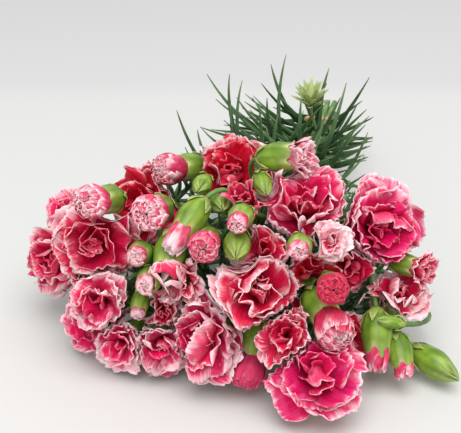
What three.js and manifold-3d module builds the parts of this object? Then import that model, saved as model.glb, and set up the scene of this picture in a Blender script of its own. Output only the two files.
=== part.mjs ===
// A bunch of spray carnations lying on a table: the flower heads are at -Y, the cut stem ends at +Y.
// Millimetres and degrees, +Z up, origin on the table under the middle of the bunch.

import * as THREE from 'three';
import { mergeVertices } from 'three/addons/utils/BufferGeometryUtils.js';
import Module from 'manifold-3d';

const wasm = await Module();
wasm.setup();

// Driving sizes

const SEED = 4217;
const GAP = 0.35;
const PETAL_THICK = 0.8;
const LEAF_THICK = 0.8;
const STEM_RADIUS = 2.0;
const STALK_RADIUS = 1.25;
const STEM_SIDES = 5;
const FURL_SIDES = 5;
const MIDDLE_X = 10;
const TIE_Y = 150;
const FOOT_Y = 196;
const STEM_PITCH = 4.6;
const BAND_THICK = 1.2;
const BAND_WIDTH = 5;

// Wires are drawn as points this far apart, and bars leave out points that lie this near to straight.
const STEP = 4.8;
const STRAIGHT = 1.5;

// A bloom's calyx grows slowly with the bloom; a bud is about as thick as its calyx.
const BLOOM_CALYX = { length: 10, lengthPerSize: 0.3, belly: 2.8, bellyPerSize: 0.075 };
const BUD_BELLY = 0.46;

// Every spray: where its stem lies in the tied bundle, and its heads, the first one at the stem's tip.
// at is the middle of a bloom's face, the mouth of an opening bud or the middle of a closed one.
// turn swings a head from -Y towards +X, lift raises it, and size is how wide it is.

const SPRAYS = [
  {
    name: 'spray_far_left', column: -1.5, row: 2, heads: [
      { name: 'bloom_far_left', kind: 'bloom', at: [-92, -136, 38], turn: -26, lift: 15, size: 42 },
      { name: 'bloom_far_left_upper', kind: 'bloom', at: [-91, -116, 54], turn: -22, lift: 40, size: 28 },
      { name: 'opening_left_top', kind: 'opening', at: [-57, -158, 85], turn: -12, lift: 20, size: 16 },
      { name: 'opening_left_low', kind: 'opening', at: [-66, -157, 42], turn: 39, lift: 16, size: 11 },
    ],
  },
  {
    name: 'spray_left', column: -0.5, row: 2, heads: [
      { name: 'bloom_left', kind: 'bloom', at: [-61, -156, 60], turn: 4, lift: 22, size: 45 },
      { name: 'bloom_left_back', kind: 'bloom', at: [-51, -116, 63], turn: -30, lift: 26, size: 42 },
      { name: 'opening_left_back', kind: 'opening', at: [-32, -108, 82], turn: -28, lift: 14, size: 16.5 },
      { name: 'opening_left_inner', kind: 'opening', at: [-31, -154, 80], turn: 2, lift: 20, size: 17 },
    ],
  },
  {
    name: 'spray_lower_left', column: -1.5, row: 0, heads: [
      { name: 'bloom_left_bottom', kind: 'bloom', at: [-59, -168, 21], turn: -12, lift: 3, size: 38 },
      { name: 'bloom_left_mid', kind: 'bloom', at: [-53, -178, 41], turn: -9, lift: 22, size: 32 },
      { name: 'bud_left_low', kind: 'bud', at: [-34, -172, 38], turn: 6, lift: -24, size: 10 },
      { name: 'bud_left_mid', kind: 'bud', at: [-27, -178, 56], turn: 6, lift: 14, size: 13.5 },
    ],
  },
  {
    name: 'spray_low', column: -0.5, row: 0, heads: [
      { name: 'bloom_low', kind: 'bloom', at: [-22, -179, 21], turn: 16, lift: 8, size: 33 },
      { name: 'bloom_low_left', kind: 'bloom', at: [-42, -180, 19], turn: -4, lift: 8, size: 30 },
      { name: 'bloom_low_mid', kind: 'bloom', at: [-23, -172, 36], turn: 4, lift: 20, size: 24 },
      { name: 'bud_left_high', kind: 'bud', at: [-34, -168, 64], turn: 4, lift: 20, size: 13.5 },
    ],
  },
  {
    name: 'spray_mid', column: -1, row: 1, heads: [
      { name: 'bloom_mid_low', kind: 'bloom', at: [-2, -181, 31], turn: -24, lift: 22, size: 44 },
      { name: 'opening_mid', kind: 'opening', at: [-14, -171, 54], turn: 10, lift: 14, size: 17 },
      { name: 'bud_mid_left', kind: 'bud', at: [-20, -167, 63], turn: 0, lift: -34, size: 17.5 },
      { name: 'bud_mid_top', kind: 'bud', at: [-12, -159, 79], turn: -23, lift: -28, size: 16 },
    ],
  },
  {
    name: 'spray_top', column: 0.5, row: 2, heads: [
      { name: 'bloom_top', kind: 'bloom', at: [-3, -99, 80], turn: 8, lift: 48, size: 42 },
      { name: 'opening_top', kind: 'opening', at: [11, -140, 82], turn: 8, lift: 50, size: 16 },
      { name: 'bud_top_left', kind: 'green', at: [-14, -124, 82], turn: 1, lift: 7, size: 11 },
      { name: 'bud_top_mid', kind: 'green', at: [-2, -136, 79], turn: 18, lift: 9, size: 12 },
      { name: 'bud_top_right', kind: 'green', at: [18, -132, 89], turn: 22, lift: -6, size: 10 },
    ],
  },
  {
    name: 'spray_centre', column: 0, row: 1, heads: [
      { name: 'bloom_centre', kind: 'bloom', at: [25, -178, 58], turn: 14, lift: 48, size: 43 },
      { name: 'bloom_centre_back', kind: 'bloom', at: [23, -156, 66], turn: 10, lift: 46, size: 32 },
      { name: 'opening_centre', kind: 'opening', at: [-2, -168, 73], turn: 8, lift: 16, size: 14.5 },
      { name: 'bud_centre', kind: 'green', at: [12, -164, 72], turn: 10, lift: 4, size: 14.5 },
      { name: 'bud_centre_top', kind: 'bud', at: [13, -162, 85], turn: 2, lift: 8, size: 13.5 },
    ],
  },
  {
    name: 'spray_front', column: 0.5, row: 0, heads: [
      { name: 'bloom_front', kind: 'bloom', at: [54, -193, 28], turn: 8, lift: 46, size: 44 },
      { name: 'bloom_front_back', kind: 'bloom', at: [39, -187, 41], turn: 1, lift: 34, size: 30 },
      { name: 'opening_front_left', kind: 'opening', at: [21, -178, 18], turn: -2, lift: -46, size: 16.5 },
      { name: 'opening_front_right', kind: 'opening', at: [58, -178, 45], turn: 30, lift: -6, size: 17.5 },
    ],
  },
  {
    name: 'spray_top_right', column: 1.5, row: 2, heads: [
      { name: 'bloom_top_right', kind: 'bloom', at: [39, -135, 82], turn: 8, lift: 54, size: 52 },
      { name: 'bloom_inner', kind: 'bloom', at: [45, -157, 54], turn: 13, lift: 20, size: 30 },
      { name: 'opening_top_right', kind: 'opening', at: [33, -120, 100], turn: 74, lift: 14, size: 16.5 },
      { name: 'bud_right_high', kind: 'bud', at: [42, -171, 78], turn: 6, lift: 16, size: 13 },
    ],
  },
  {
    name: 'spray_right', column: 1, row: 1, heads: [
      { name: 'bloom_right', kind: 'bloom', at: [75, -131, 70], turn: 34, lift: 26, size: 49 },
      { name: 'bloom_right_small', kind: 'bloom', at: [55, -161, 77], turn: 9, lift: 22, size: 19 },
      { name: 'bloom_right_under', kind: 'bloom', at: [64, -139, 52], turn: 23, lift: 3, size: 34 },
      { name: 'opening_right_mid', kind: 'opening', at: [58, -176, 62], turn: 10, lift: 24, size: 14 },
      { name: 'opening_right', kind: 'opening', at: [95, -136, 54], turn: 58, lift: 8, size: 12 },
    ],
  },
  {
    name: 'spray_lower_right', column: 1.5, row: 0, heads: [
      { name: 'bloom_lower_right', kind: 'bloom', at: [87, -138, 42], turn: 20, lift: 56, size: 32 },
      { name: 'bloom_low_right', kind: 'bloom', at: [65, -149, 18], turn: 14, lift: 19, size: 28 },
      { name: 'opening_low_right', kind: 'opening', at: [80, -128, 30], turn: -60, lift: 34, size: 12 },
      { name: 'bud_low_right', kind: 'bud', at: [79, -156, 24], turn: 10, lift: -46, size: 17 },
      { name: 'bud_lower_right', kind: 'bud', at: [91, -158, 17], turn: 22, lift: -38, size: 14 },
      { name: 'bud_far_right', kind: 'green', at: [107, -150, 10], turn: 50, lift: -3, size: 16 },
      { name: 'bud_right_small', kind: 'green', at: [85, -155, 34], turn: -70, lift: 16, size: 7 },
    ],
  },
];

// Colours

const RED = { color: 0xd0103f, roughness: 0.6, metalness: 0 };
const PINK = { color: 0xe8557f, roughness: 0.6, metalness: 0 };
const GREEN = { color: 0x5f8436, roughness: 0.55, metalness: 0 };
const RUBBER = { color: 0xc9a36a, roughness: 0.7, metalness: 0 };

// Small helpers

const vec = (x, y, z) => new THREE.Vector3(x, y, z);
const rad = THREE.MathUtils.degToRad;
const lerp = THREE.MathUtils.lerp;

// A seeded draw between 0 and 1, the same in every run.
function makeDice(seed) {
  let state = seed >>> 0;
  return () => {
    state = (state + 0x6d2b79f5) >>> 0;
    let mixed = Math.imul(state ^ (state >>> 15), state | 1);
    mixed = (mixed + Math.imul(mixed ^ (mixed >>> 7), mixed | 61)) ^ mixed;
    return ((mixed ^ (mixed >>> 14)) >>> 0) / 4294967296;
  };
}

const between = (dice, low, high) => low + (high - low) * dice();

function facing(head) {
  const flat = Math.cos(rad(head.lift));
  return vec(Math.sin(rad(head.turn)) * flat, -Math.cos(rad(head.turn)) * flat, Math.sin(rad(head.lift)));
}

// Two directions square to an axis, the first one level.
function squareTo(axis) {
  const side = vec(-axis.y, axis.x, 0).normalize();
  return [side, axis.clone().cross(side)];
}

// Heads: their own sizes follow from how wide they are

// How far along the calyx each ring is, and how wide it is beside the belly.
const CALYX_SHAPE = {
  bloom: [[0, 0.36], [0.14, 0.76], [1, 1.04]],
  opening: [[0, 0.3], [0.14, 0.74], [0.5, 1], [1, 0.86]],
  bud: [[0, 0.3], [0.14, 0.72], [0.5, 1], [1, 0.74]],
  green: [[0, 0.3], [0.14, 0.7], [0.5, 1], [0.8, 0.8], [1, 0.2]],
};

// How far the calyx's mouth is ahead of the given point, and how long a bud's calyx is.
const RIM_AT = { bloom: -0.27, opening: 0, bud: 0.48, green: 0.95 };
const BUD_LENGTH = { opening: 1.35, bud: 1.35, green: 1.9 };

function measureHead(head) {
  const { kind, size } = head;
  const axis = facing(head);
  const at = vec(...head.at);
  let belly = BUD_BELLY * size;
  let calyxLength = BUD_LENGTH[kind] * size;
  if (kind === 'bloom') {
    belly = BLOOM_CALYX.belly + BLOOM_CALYX.bellyPerSize * size;
    calyxLength = BLOOM_CALYX.length + BLOOM_CALYX.lengthPerSize * size;
  }
  const rim = at.clone().addScaledVector(axis, RIM_AT[kind] * size);
  const base = rim.clone().addScaledVector(axis, -calyxLength);
  return { ...head, axis, at, belly, rim, base, calyxLength };
}

// A calyx's rings, from its foot to its mouth.
function calyxRings(head) {
  return CALYX_SHAPE[head.kind].map(([along, size]) => ({
    point: head.base.clone().addScaledVector(head.axis, along * head.calyxLength),
    radius: size * head.belly,
  }));
}

// Stems and stalks as wires: a chain of points, with how thick each is and whether it may move

function curvePoints(start, leave, arrive, end) {
  const curve = new THREE.CubicBezierCurve3(start, leave, arrive, end);
  const steps = Math.max(4, Math.round(curve.getLength() / STEP));
  return curve.getSpacedPoints(steps);
}

// In the band the stems are packed close, at their feet they lie a little looser on the table.
const FOOT_LOOSE = 1.15;
const FOOT_SUNK = 0.9;
const ROW_RISE = 0.87;

function bundleSlot(spray, y) {
  const atFoot = y > TIE_Y;
  const pitch = STEM_PITCH * (atFoot ? FOOT_LOOSE : 1);
  const lowest = atFoot ? STEM_RADIUS * FOOT_SUNK : STEM_RADIUS + BAND_THICK + 1.5 * GAP;
  return vec(MIDDLE_X + spray.column * pitch, y, lowest + spray.row * ROW_RISE * pitch);
}

const HELD_FROM_Y = TIE_Y - 8;
const LEAVES_BAND = 70;
const MEETS_HEAD = 45;
const LOWEST_BEND = 6;
const STALK_BEND = 0.4;

function stemWire(spray) {
  const tip = spray.heads[0];
  const foot = bundleSlot(spray, FOOT_Y);
  const tie = bundleSlot(spray, TIE_Y);
  const lower = curvePoints(foot, foot.clone().lerp(tie, 0.35), foot.clone().lerp(tie, 0.7), tie);
  const leave = tie.clone().add(vec(0, -LEAVES_BAND, 0));
  const arrive = tip.base.clone().addScaledVector(tip.axis, -MEETS_HEAD);
  arrive.z = Math.max(arrive.z, LOWEST_BEND);
  const upper = curvePoints(tie, leave, arrive, tip.base);
  return [...lower, ...upper.slice(1)];
}

function stalkWire(from, along, head) {
  const reach = STALK_BEND * from.distanceTo(head.base);
  const leave = from.clone().addScaledVector(along, reach);
  const arrive = head.base.clone().addScaledVector(head.axis, -reach);
  arrive.z = Math.max(arrive.z, LOWEST_BEND);
  return curvePoints(from, leave, arrive, head.base);
}

const BRANCH_FIRST = 26;
const BRANCH_STEP = 15;

function layWires(sprays) {
  const wires = [];
  sprays.forEach((spray, sprayNumber) => {
    const points = stemWire(spray);
    const stem = { spray: sprayNumber, head: spray.heads[0], radius: STEM_RADIUS, points };
    stem.held = points.map((point, i) => point.y > HELD_FROM_Y || i >= points.length - 2);
    wires.push(stem);
    const spacing = points.at(-1).distanceTo(points.at(-2));
    spray.heads.slice(1).forEach((head, k) => {
      const back = Math.round((BRANCH_FIRST + BRANCH_STEP * (k + 1)) / spacing);
      const joint = points.length - 1 - back;
      const along = points[joint + 2].clone().sub(points[joint]).normalize();
      const chain = stalkWire(points[joint].clone(), along, head);
      const stalk = { spray: sprayNumber, head, radius: STALK_RADIUS, points: chain, stem, joint };
      stalk.held = chain.map((point, i) => i >= chain.length - 2);
      wires.push(stalk);
    });
  });
  return wires;
}

// What a wire has to stay clear of besides the other wires: the calyx, the bud and the heart of every head.
const CALYX_BALLS = [[0.1, 0.6], [0.35, 0.9], [0.65, 1], [0.95, 0.9]];

function headBalls(head) {
  const balls = CALYX_BALLS.map(([along, size]) => ({
    point: head.base.clone().addScaledVector(head.axis, along * head.calyxLength),
    radius: size * head.belly,
  }));
  if (head.kind === 'bloom') {
    const heart = head.at.clone().addScaledVector(head.axis, -0.12 * head.size);
    balls.push({ point: heart, radius: 0.3 * head.size });
  } else if (head.kind !== 'green') {
    const tip = head.rim.clone().addScaledVector(head.axis, 0.3 * head.size);
    balls.push({ point: tip, radius: 0.42 * head.size });
  }
  return balls;
}

// Settling: wires that come too close push each other aside, a little in each round, and stay smooth

const ROUNDS = 70;
const SMOOTH_ROUNDS = 55;
const SMOOTHING = 0.35;
const CLEAR = 1.3;
const JOINT_FREE = 3;
const PUSH = 0.4;

function gatherBalls(wires) {
  const balls = [];
  wires.forEach((wire, number) => {
    wire.points.forEach((point, i) => {
      const nearJoint = wire.stem !== undefined && i < JOINT_FREE;
      const { spray, radius } = wire;
      balls.push({ wire: number, spray, i, point, radius, held: wire.held[i], nearJoint });
    });
    headBalls(wire.head).forEach((ball) => {
      balls.push({ wire: number, spray: wire.spray, i: -1, ...ball, held: true, nearJoint: false });
    });
  });
  return balls;
}

function pushApart(balls) {
  const pushes = balls.map(() => vec(0, 0, 0));
  for (let a = 0; a < balls.length; a += 1) {
    for (let b = a + 1; b < balls.length; b += 1) {
      const one = balls[a];
      const two = balls[b];
      const sameSpray = one.spray === two.spray;
      if (one.wire === two.wire || (one.held && two.held)) continue;
      if (sameSpray && (one.nearJoint || two.nearJoint)) continue;
      const need = one.radius + two.radius + CLEAR;
      const push = two.point.clone().sub(one.point);
      const apart = push.length();
      if (apart >= need || apart < 1e-6) continue;
      const share = one.held || two.held ? 2 * PUSH : PUSH;
      push.multiplyScalar(share * (need - apart) / apart);
      pushes[a].sub(push);
      pushes[b].add(push);
    }
  }
  balls.forEach((ball, i) => {
    if (ball.held) return;
    ball.point.add(pushes[i]);
    ball.point.z = Math.max(ball.point.z, ball.radius + 0.2);
  });
}

function smoothWires(wires) {
  wires.forEach((wire) => {
    const before = wire.points.map((point) => point.clone());
    for (let i = 1; i < wire.points.length - 1; i += 1) {
      if (wire.held[i]) continue;
      const middle = before[i - 1].clone().add(before[i + 1]).multiplyScalar(0.5);
      wire.points[i].lerp(middle, SMOOTHING);
    }
  });
}

function keepJoints(wires) {
  wires.forEach((wire) => {
    if (wire.stem !== undefined) wire.points[0].copy(wire.stem.points[wire.joint]);
  });
}

function settle(wires) {
  const balls = gatherBalls(wires);
  for (let round = 0; round < ROUNDS; round += 1) {
    pushApart(balls);
    if (round < SMOOTH_ROUNDS) smoothWires(wires);
    keepJoints(wires);
  }
}

// Leaves: pairs at the joints of each stem, long and narrow, arching away from it

const LEAF_NODES = [-4, 30, 62, 92, 116];
const NODE_SPREAD = 22;
const LEAF_TRIES = 16;
const LEAF_MARKS = 9;
const BUNDLE_HEIGHT = 4;
const PAIR_ANGLE = 0.8;
const PAIR_SPREAD = 0.5;
const WIDER_PER_TRY = 0.1;
const SHORTER_PER_TRY = 0.015;
const LEAF_LENGTH = [52, 86];
const LEAF_WIDTH = [3, 3.8];
const LEAF_OPENS_FROM = [22, 40];
const LEAF_OPENS_TO = [66, 124];
const LEAF_DROOP = [-4, 10];
const LEAF_LOWEST = 1;
const LEAF_CLEAR = 0.7;
const LEAF_NARROWS = 0.6;

// Leaves of the stems stay beside and behind the heads
const LEAF_LEFT = -62;
const LEAF_RIGHT = 58;
const LEAF_FRONT = -62;

function leafPath(root, along, out, length, openFrom, openTo, droop) {
  const marks = [];
  for (let i = 0; i <= LEAF_MARKS; i += 1) {
    const part = i / LEAF_MARKS;
    const span = openTo - openFrom;
    const open = openFrom + span * part;
    const forward = length * (Math.sin(open) - Math.sin(openFrom)) / span;
    const aside = length * (Math.cos(openFrom) - Math.cos(open)) / span;
    const point = root.clone().addScaledVector(along, forward).addScaledVector(out, aside);
    point.z -= droop * part * part;
    marks.push(point);
  }
  return marks;
}

function leafObstacles(wires) {
  const blooms = wires.filter((wire) => wire.head.kind === 'bloom');
  const whole = blooms.map(({ head }) => {
    return { spray: -1, point: bloomHeart(head), radius: HALF_WIDE * head.size + 2 };
  });
  return [...gatherBalls(wires), ...whole];
}

function isInRoom(marks) {
  return marks.every((mark) => {
    return mark.x >= LEAF_LEFT && mark.x <= LEAF_RIGHT && mark.y >= LEAF_FRONT;
  });
}

function isClear(marks, width, balls, sprayNumber) {
  return marks.every((mark, i) => {
    const reach = 0.5 * width * (1 - LEAF_NARROWS * i / LEAF_MARKS) + LEAF_CLEAR;
    if (mark.z < LEAF_LOWEST) return false;
    return balls.every((ball) => {
      if (ball.spray === sprayNumber && i < 3) return true;
      return ball.point.distanceTo(mark) > reach + ball.radius;
    });
  });
}

function nearestPoint(wire, y) {
  let best = 0;
  wire.points.forEach((point, i) => {
    if (Math.abs(point.y - y) < Math.abs(wire.points[best].y - y)) best = i;
  });
  return best;
}

function growLeaves(wires, dice) {
  const balls = leafObstacles(wires);
  const leaves = [];
  wires.filter((wire) => wire.stem === undefined).forEach((wire) => {
    LEAF_NODES.forEach((nodeY) => {
      const place = nearestPoint(wire, between(dice, nodeY, nodeY + NODE_SPREAD));
      const root = wire.points[place];
      const along = wire.points[place + 1].clone().sub(wire.points[place - 1]).normalize();
      const [side, over] = squareTo(along);
      const away = root.clone().sub(vec(MIDDLE_X, root.y, BUNDLE_HEIGHT));
      const roll = Math.atan2(away.dot(over), away.dot(side));
      for (let pair = 0; pair < 2; pair += 1) {
        for (let attempt = 0; attempt < LEAF_TRIES; attempt += 1) {
          const spread = between(dice, -PAIR_SPREAD, PAIR_SPREAD) * (1 + WIDER_PER_TRY * attempt);
          const angle = roll + (pair === 0 ? PAIR_ANGLE : -PAIR_ANGLE) + spread;
          const out = side.clone().multiplyScalar(Math.cos(angle)).addScaledVector(over, Math.sin(angle));
          const length = between(dice, ...LEAF_LENGTH) * (1 - SHORTER_PER_TRY * attempt);
          const openFrom = rad(between(dice, ...LEAF_OPENS_FROM));
          const openTo = rad(between(dice, ...LEAF_OPENS_TO));
          const droop = between(dice, ...LEAF_DROOP);
          const width = between(dice, ...LEAF_WIDTH);
          const foot = root.clone().addScaledVector(out, 0.4 * STEM_RADIUS);
          const marks = leafPath(foot, along, out, length, openFrom, openTo, droop);
          if (!isInRoom(marks)) continue;
          if (!isClear(marks, width, balls, wire.spray)) continue;
          leaves.push({ spray: wire.spray, marks, width, hinge: along.clone().cross(out) });
          marks.forEach((point, i) => {
            const radius = 0.4 * width * (1 - 0.5 * i / LEAF_MARKS) + 0.5;
            balls.push({ spray: wire.spray, point, radius });
          });
          break;
        }
      }
    });
  });
  return leaves;
}

// Shapes become closed solids that can be joined and cut

function toSolid(geometry) {
  const bare = geometry.clone();
  bare.deleteAttribute('normal');
  bare.deleteAttribute('uv');
  const merged = mergeVertices(bare, 1e-4);
  return new wasm.Manifold(new wasm.Mesh({
    numProp: 3,
    vertProperties: new Float32Array(merged.attributes.position.array),
    triVerts: new Uint32Array(merged.index.array),
  }));
}

function toGeometry(solid) {
  const mesh = solid.getMesh();
  const geometry = new THREE.BufferGeometry();
  geometry.setAttribute('position', new THREE.BufferAttribute(new Float32Array(mesh.vertProperties), 3));
  geometry.setIndex(new THREE.BufferAttribute(new Uint32Array(mesh.triVerts), 1));
  return geometry;
}

// Moves every corner of a plain shape to where its three numbers say.
function reshape(geometry, place) {
  const position = geometry.attributes.position;
  for (let i = 0; i < position.count; i += 1) {
    const moved = place(position.getX(i), position.getY(i), position.getZ(i));
    position.setXYZ(i, moved.x, moved.y, moved.z);
  }
  return geometry;
}

// A round bar through rings of given middle and radius; grow makes it fatter and longer, to cut room for it.
function bar(rings, sides, grow = 0) {
  const last = rings.length - 1;
  const frames = [];
  let across = null;
  rings.forEach((ring, i) => {
    const from = rings[Math.max(0, i - 1)].point;
    const to = rings[Math.min(last, i + 1)].point;
    const along = to.clone().sub(from).normalize();
    across = across ?? squareTo(along)[0];
    across = across.clone().addScaledVector(along, -across.dot(along)).normalize();
    const stretch = i === 0 ? -grow : 0;
    const middle = ring.point.clone().addScaledVector(along, i === last ? grow : stretch);
    frames.push({ across, over: across.clone().cross(along), middle });
  });
  const plain = new THREE.CylinderGeometry(1, 1, 1, sides, last);
  return toSolid(reshape(plain, (x, y, z) => {
    const i = Math.round((y + 0.5) * last);
    const size = rings[i].radius + grow;
    return frames[i].middle.clone()
      .addScaledVector(frames[i].across, x * size)
      .addScaledVector(frames[i].over, z * size);
  }));
}

// A leaf's blade along its marks, widest a third of the way along; widths are parts of the widest.
const BLADE_STEPS = 3;
const BLADE_WIDEST_AT = 0.3;
const BLADE_FOOT = 0.75;
const BLADE_TIP = 0.28;
const BLADE_TAPER = 1.6;

function bladeWidth(part) {
  if (part < BLADE_WIDEST_AT) return lerp(BLADE_FOOT, 1, part / BLADE_WIDEST_AT);
  const beyond = (part - BLADE_WIDEST_AT) / (1 - BLADE_WIDEST_AT);
  return lerp(1, BLADE_TIP, beyond ** BLADE_TAPER);
}

function blade(leaf, grow = 0) {
  const plain = new THREE.BoxGeometry(1, 1, 1, 1, 1, BLADE_STEPS);
  const last = leaf.marks.length - 1;
  return toSolid(reshape(plain, (x, y, z) => {
    const part = z + 0.5;
    const i = Math.round(part * last);
    const from = leaf.marks[Math.max(0, i - 1)];
    const to = leaf.marks[Math.min(last, i + 1)];
    const along = to.clone().sub(from).normalize();
    const across = leaf.hinge.clone().addScaledVector(along, -leaf.hinge.dot(along)).normalize();
    const over = across.clone().cross(along);
    const width = leaf.width * bladeWidth(part);
    const stretch = i === 0 ? -grow : 0;
    return leaf.marks[i].clone()
      .addScaledVector(along, i === last ? grow : stretch)
      .addScaledVector(across, -x * (width + 2 * grow))
      .addScaledVector(over, y * (LEAF_THICK + 2 * grow));
  }));
}

// Keeps few of a wire's points, which still follow it within the given distance.
function thinned(points, within) {
  const chord = new THREE.Line3(points[0], points.at(-1));
  let worst = 0;
  let far = 0;
  points.forEach((point, i) => {
    const off = chord.closestPointToPoint(point, true, vec(0, 0, 0)).distanceTo(point);
    if (off <= far) return;
    far = off;
    worst = i;
  });
  if (far < within) return [points[0], points.at(-1)];
  return [...thinned(points.slice(0, worst + 1), within), ...thinned(points.slice(worst), within).slice(1)];
}

// A wire's rings; a stem keeps the points where its stalks join it.
function wireRings(wire, wires) {
  const joints = wires.filter((stalk) => stalk.stem === wire).map((stalk) => stalk.joint);
  const stops = [...joints.sort((a, b) => a - b), wire.points.length - 1];
  const chain = [wire.points[0]];
  let from = 0;
  stops.forEach((stop) => {
    chain.push(...thinned(wire.points.slice(from, stop + 1), STRAIGHT).slice(1));
    from = stop;
  });
  return chain.map((point) => ({ point, radius: wire.radius }));
}

// A stalk with its calyx is one bar that swells, and the calyx has the same sides as the stalk.
function stalkAndCalyx(wire, wires, grow = 0) {
  const rings = wireRings(wire, wires);
  rings.pop();
  return bar([...rings, ...calyxRings(wire.head)], STEM_SIDES, grow);
}

function sprayParts(wires, leaves, sprayNumber) {
  const own = wires.filter((wire) => wire.spray === sprayNumber);
  const parts = own.map((wire) => (grow) => stalkAndCalyx(wire, wires, grow));
  leaves.filter((leaf) => leaf.spray === sprayNumber).forEach((leaf) => {
    parts.push((grow) => blade(leaf, grow));
  });
  return parts;
}

// Joining and cutting

function largestPiece(solid) {
  return solid.decompose().reduce((best, piece) => (piece.volume() > best.volume() ? piece : best));
}

// Rounds a solid's corners to a fine grid, melts its smallest edges away, and keeps its largest piece
// with no closed hollow inside.
const GRID = 100;
const MELT = 0.03;
const CLEANINGS = 3;

const toGrid = (value) => Math.round(value * GRID) / GRID;

function cleaned(solid) {
  let rest = largestPiece(solid).simplify(MELT);
  for (let round = 0; round < CLEANINGS; round += 1) {
    const geometry = toGeometry(rest);
    geometry.attributes.position.array.set(geometry.attributes.position.array.map(toGrid));
    rest = largestPiece(toSolid(geometry)).simplify(MELT);
  }
  return rest;
}

function fuse(solids) {
  return solids.reduce((whole, solid) => whole.add(solid));
}

function aboveTable(solid) {
  return solid.trimByPlane([0, 0, 1], 0);
}

function boxesMeet(one, two) {
  const a = one.boundingBox();
  const b = two.boundingBox();
  return [0, 1, 2].every((k) => a.min[k] <= b.max[k] && b.min[k] <= a.max[k]);
}

// Takes out of a solid the room that its neighbours need, where they really meet.
function cutClear(solid, neighbours) {
  let rest = solid;
  neighbours.forEach((neighbour) => {
    if (!boxesMeet(rest, neighbour.fat)) return;
    rest = rest.subtract(neighbour.fat);
  });
  return rest;
}

// Crowding: a bloom's petals keep to its side of the planes between it and the next blooms

const FLOOR_SINK = 0.6;
const FLOOR_SOFT = 0.8;
const WALL_SOFT = 0.5;
const WALL_WITHIN = 0.62;
const HALF_WIDE = 0.5;
const HALF_DEEP = 0.3;
const PARTING = 4;
const BAR_WITHIN = 18;
const SMALL_BALL = 9;

function bloomHeart(head) {
  return head.at.clone().addScaledVector(head.axis, -0.1 * head.size);
}

function reachAlong(head, direction) {
  const straight = Math.abs(head.axis.dot(direction));
  const aside = Math.sqrt(Math.max(0, 1 - straight * straight));
  return 1 / Math.hypot(straight / (HALF_DEEP * head.size), aside / (HALF_WIDE * head.size));
}

function bloomWalls(head, blooms) {
  const heart = bloomHeart(head);
  const walls = [{ normal: vec(0, 0, -1), limit: heart.z + FLOOR_SINK, soft: FLOOR_SOFT }];
  blooms.forEach((other) => {
    if (other === head) return;
    const normal = bloomHeart(other).sub(heart);
    const apart = normal.length();
    if (apart > WALL_WITHIN * (head.size + other.size)) return;
    normal.divideScalar(apart);
    const own = reachAlong(head, normal);
    const limit = apart * own / (own + reachAlong(other, normal)) - 0.5 * GAP;
    walls.push({ normal, limit, soft: WALL_SOFT });
  });
  return { heart, walls };
}

function pressIn(point, room) {
  room.walls.forEach((wall) => {
    const out = point.clone().sub(room.heart).dot(wall.normal);
    const soft = wall.limit * wall.soft;
    if (out <= soft) return;
    const give = wall.limit - soft;
    const pressed = soft + give * (1 - Math.exp(-(out - soft) / give));
    point.addScaledVector(wall.normal, pressed - out);
  });
  room.bars.forEach((item) => {
    const line = new THREE.Line3(item.from, item.to);
    const nearest = line.closestPointToPoint(point, true, vec(0, 0, 0));
    const away = point.clone().sub(nearest);
    const apart = away.length();
    const zone = item.radius + PARTING;
    if (apart >= zone || apart < 1e-6) return;
    const wanted = item.radius + apart * PARTING / zone;
    point.addScaledVector(away, (wanted - apart) / apart);
  });
  return point;
}

// The stalks, calyces and buds that pass through or beside a bloom, which its petals part around.
function barsNear(head, wires) {
  const bars = [];
  const heart = bloomHeart(head);
  wires.forEach((wire) => {
    const chain = thinned(wire.points, STRAIGHT).map((point) => ({ point, radius: wire.radius }));
    if (wire.head !== head) {
      const balls = headBalls(wire.head);
      chain.push(...balls.filter((ball) => wire.head.kind !== 'bloom' || ball.radius < SMALL_BALL));
    }
    for (let i = 1; i < chain.length; i += 1) {
      const middle = chain[i].point.clone().lerp(chain[i - 1].point, 0.5);
      if (middle.distanceTo(heart) > HALF_WIDE * head.size + BAR_WITHIN) continue;
      const radius = Math.max(chain[i].radius, chain[i - 1].radius) + GAP + 0.5 * PETAL_THICK;
      bars.push({ from: chain[i - 1].point, to: chain[i].point, radius });
    }
  });
  return bars;
}

// Petals: each whorl is one thin sheet, cut in from its edge between the petals, waved and bent into a dish

// Across and along each petal, from its lower side round its edge to its upper side.
const PETAL_MARKS = [[-0.86, 0.68], [-0.72, 0.97], [0.2, 1], [0.95, 0.84]];
const EDGE_WAVE = [0.2, 1, -1, 0.8];
const NOTCH_AT = 0.42;

function dishPoint(head, whorl, angle, u, v, long) {
  const tilt = lerp(whorl.tiltFrom, whorl.tiltTo, v);
  const bend = whorl.tiltTo - whorl.tiltFrom;
  const radius = long * (Math.cos(whorl.tiltFrom) - Math.cos(tilt)) / bend;
  const height = long * (Math.sin(tilt) - Math.sin(whorl.tiltFrom)) / bend;
  const [side, over] = squareTo(head.axis);
  const out = side.multiplyScalar(Math.cos(angle)).addScaledVector(over, Math.sin(angle));
  const around = head.axis.clone().cross(out);
  const inward = whorl.cup * u * u * whorl.width;
  return head.rim.clone()
    .addScaledVector(out, radius - inward * Math.cos(tilt))
    .addScaledVector(head.axis, whorl.height + height + inward * Math.sin(tilt))
    .addScaledVector(around, u * whorl.width);
}

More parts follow.
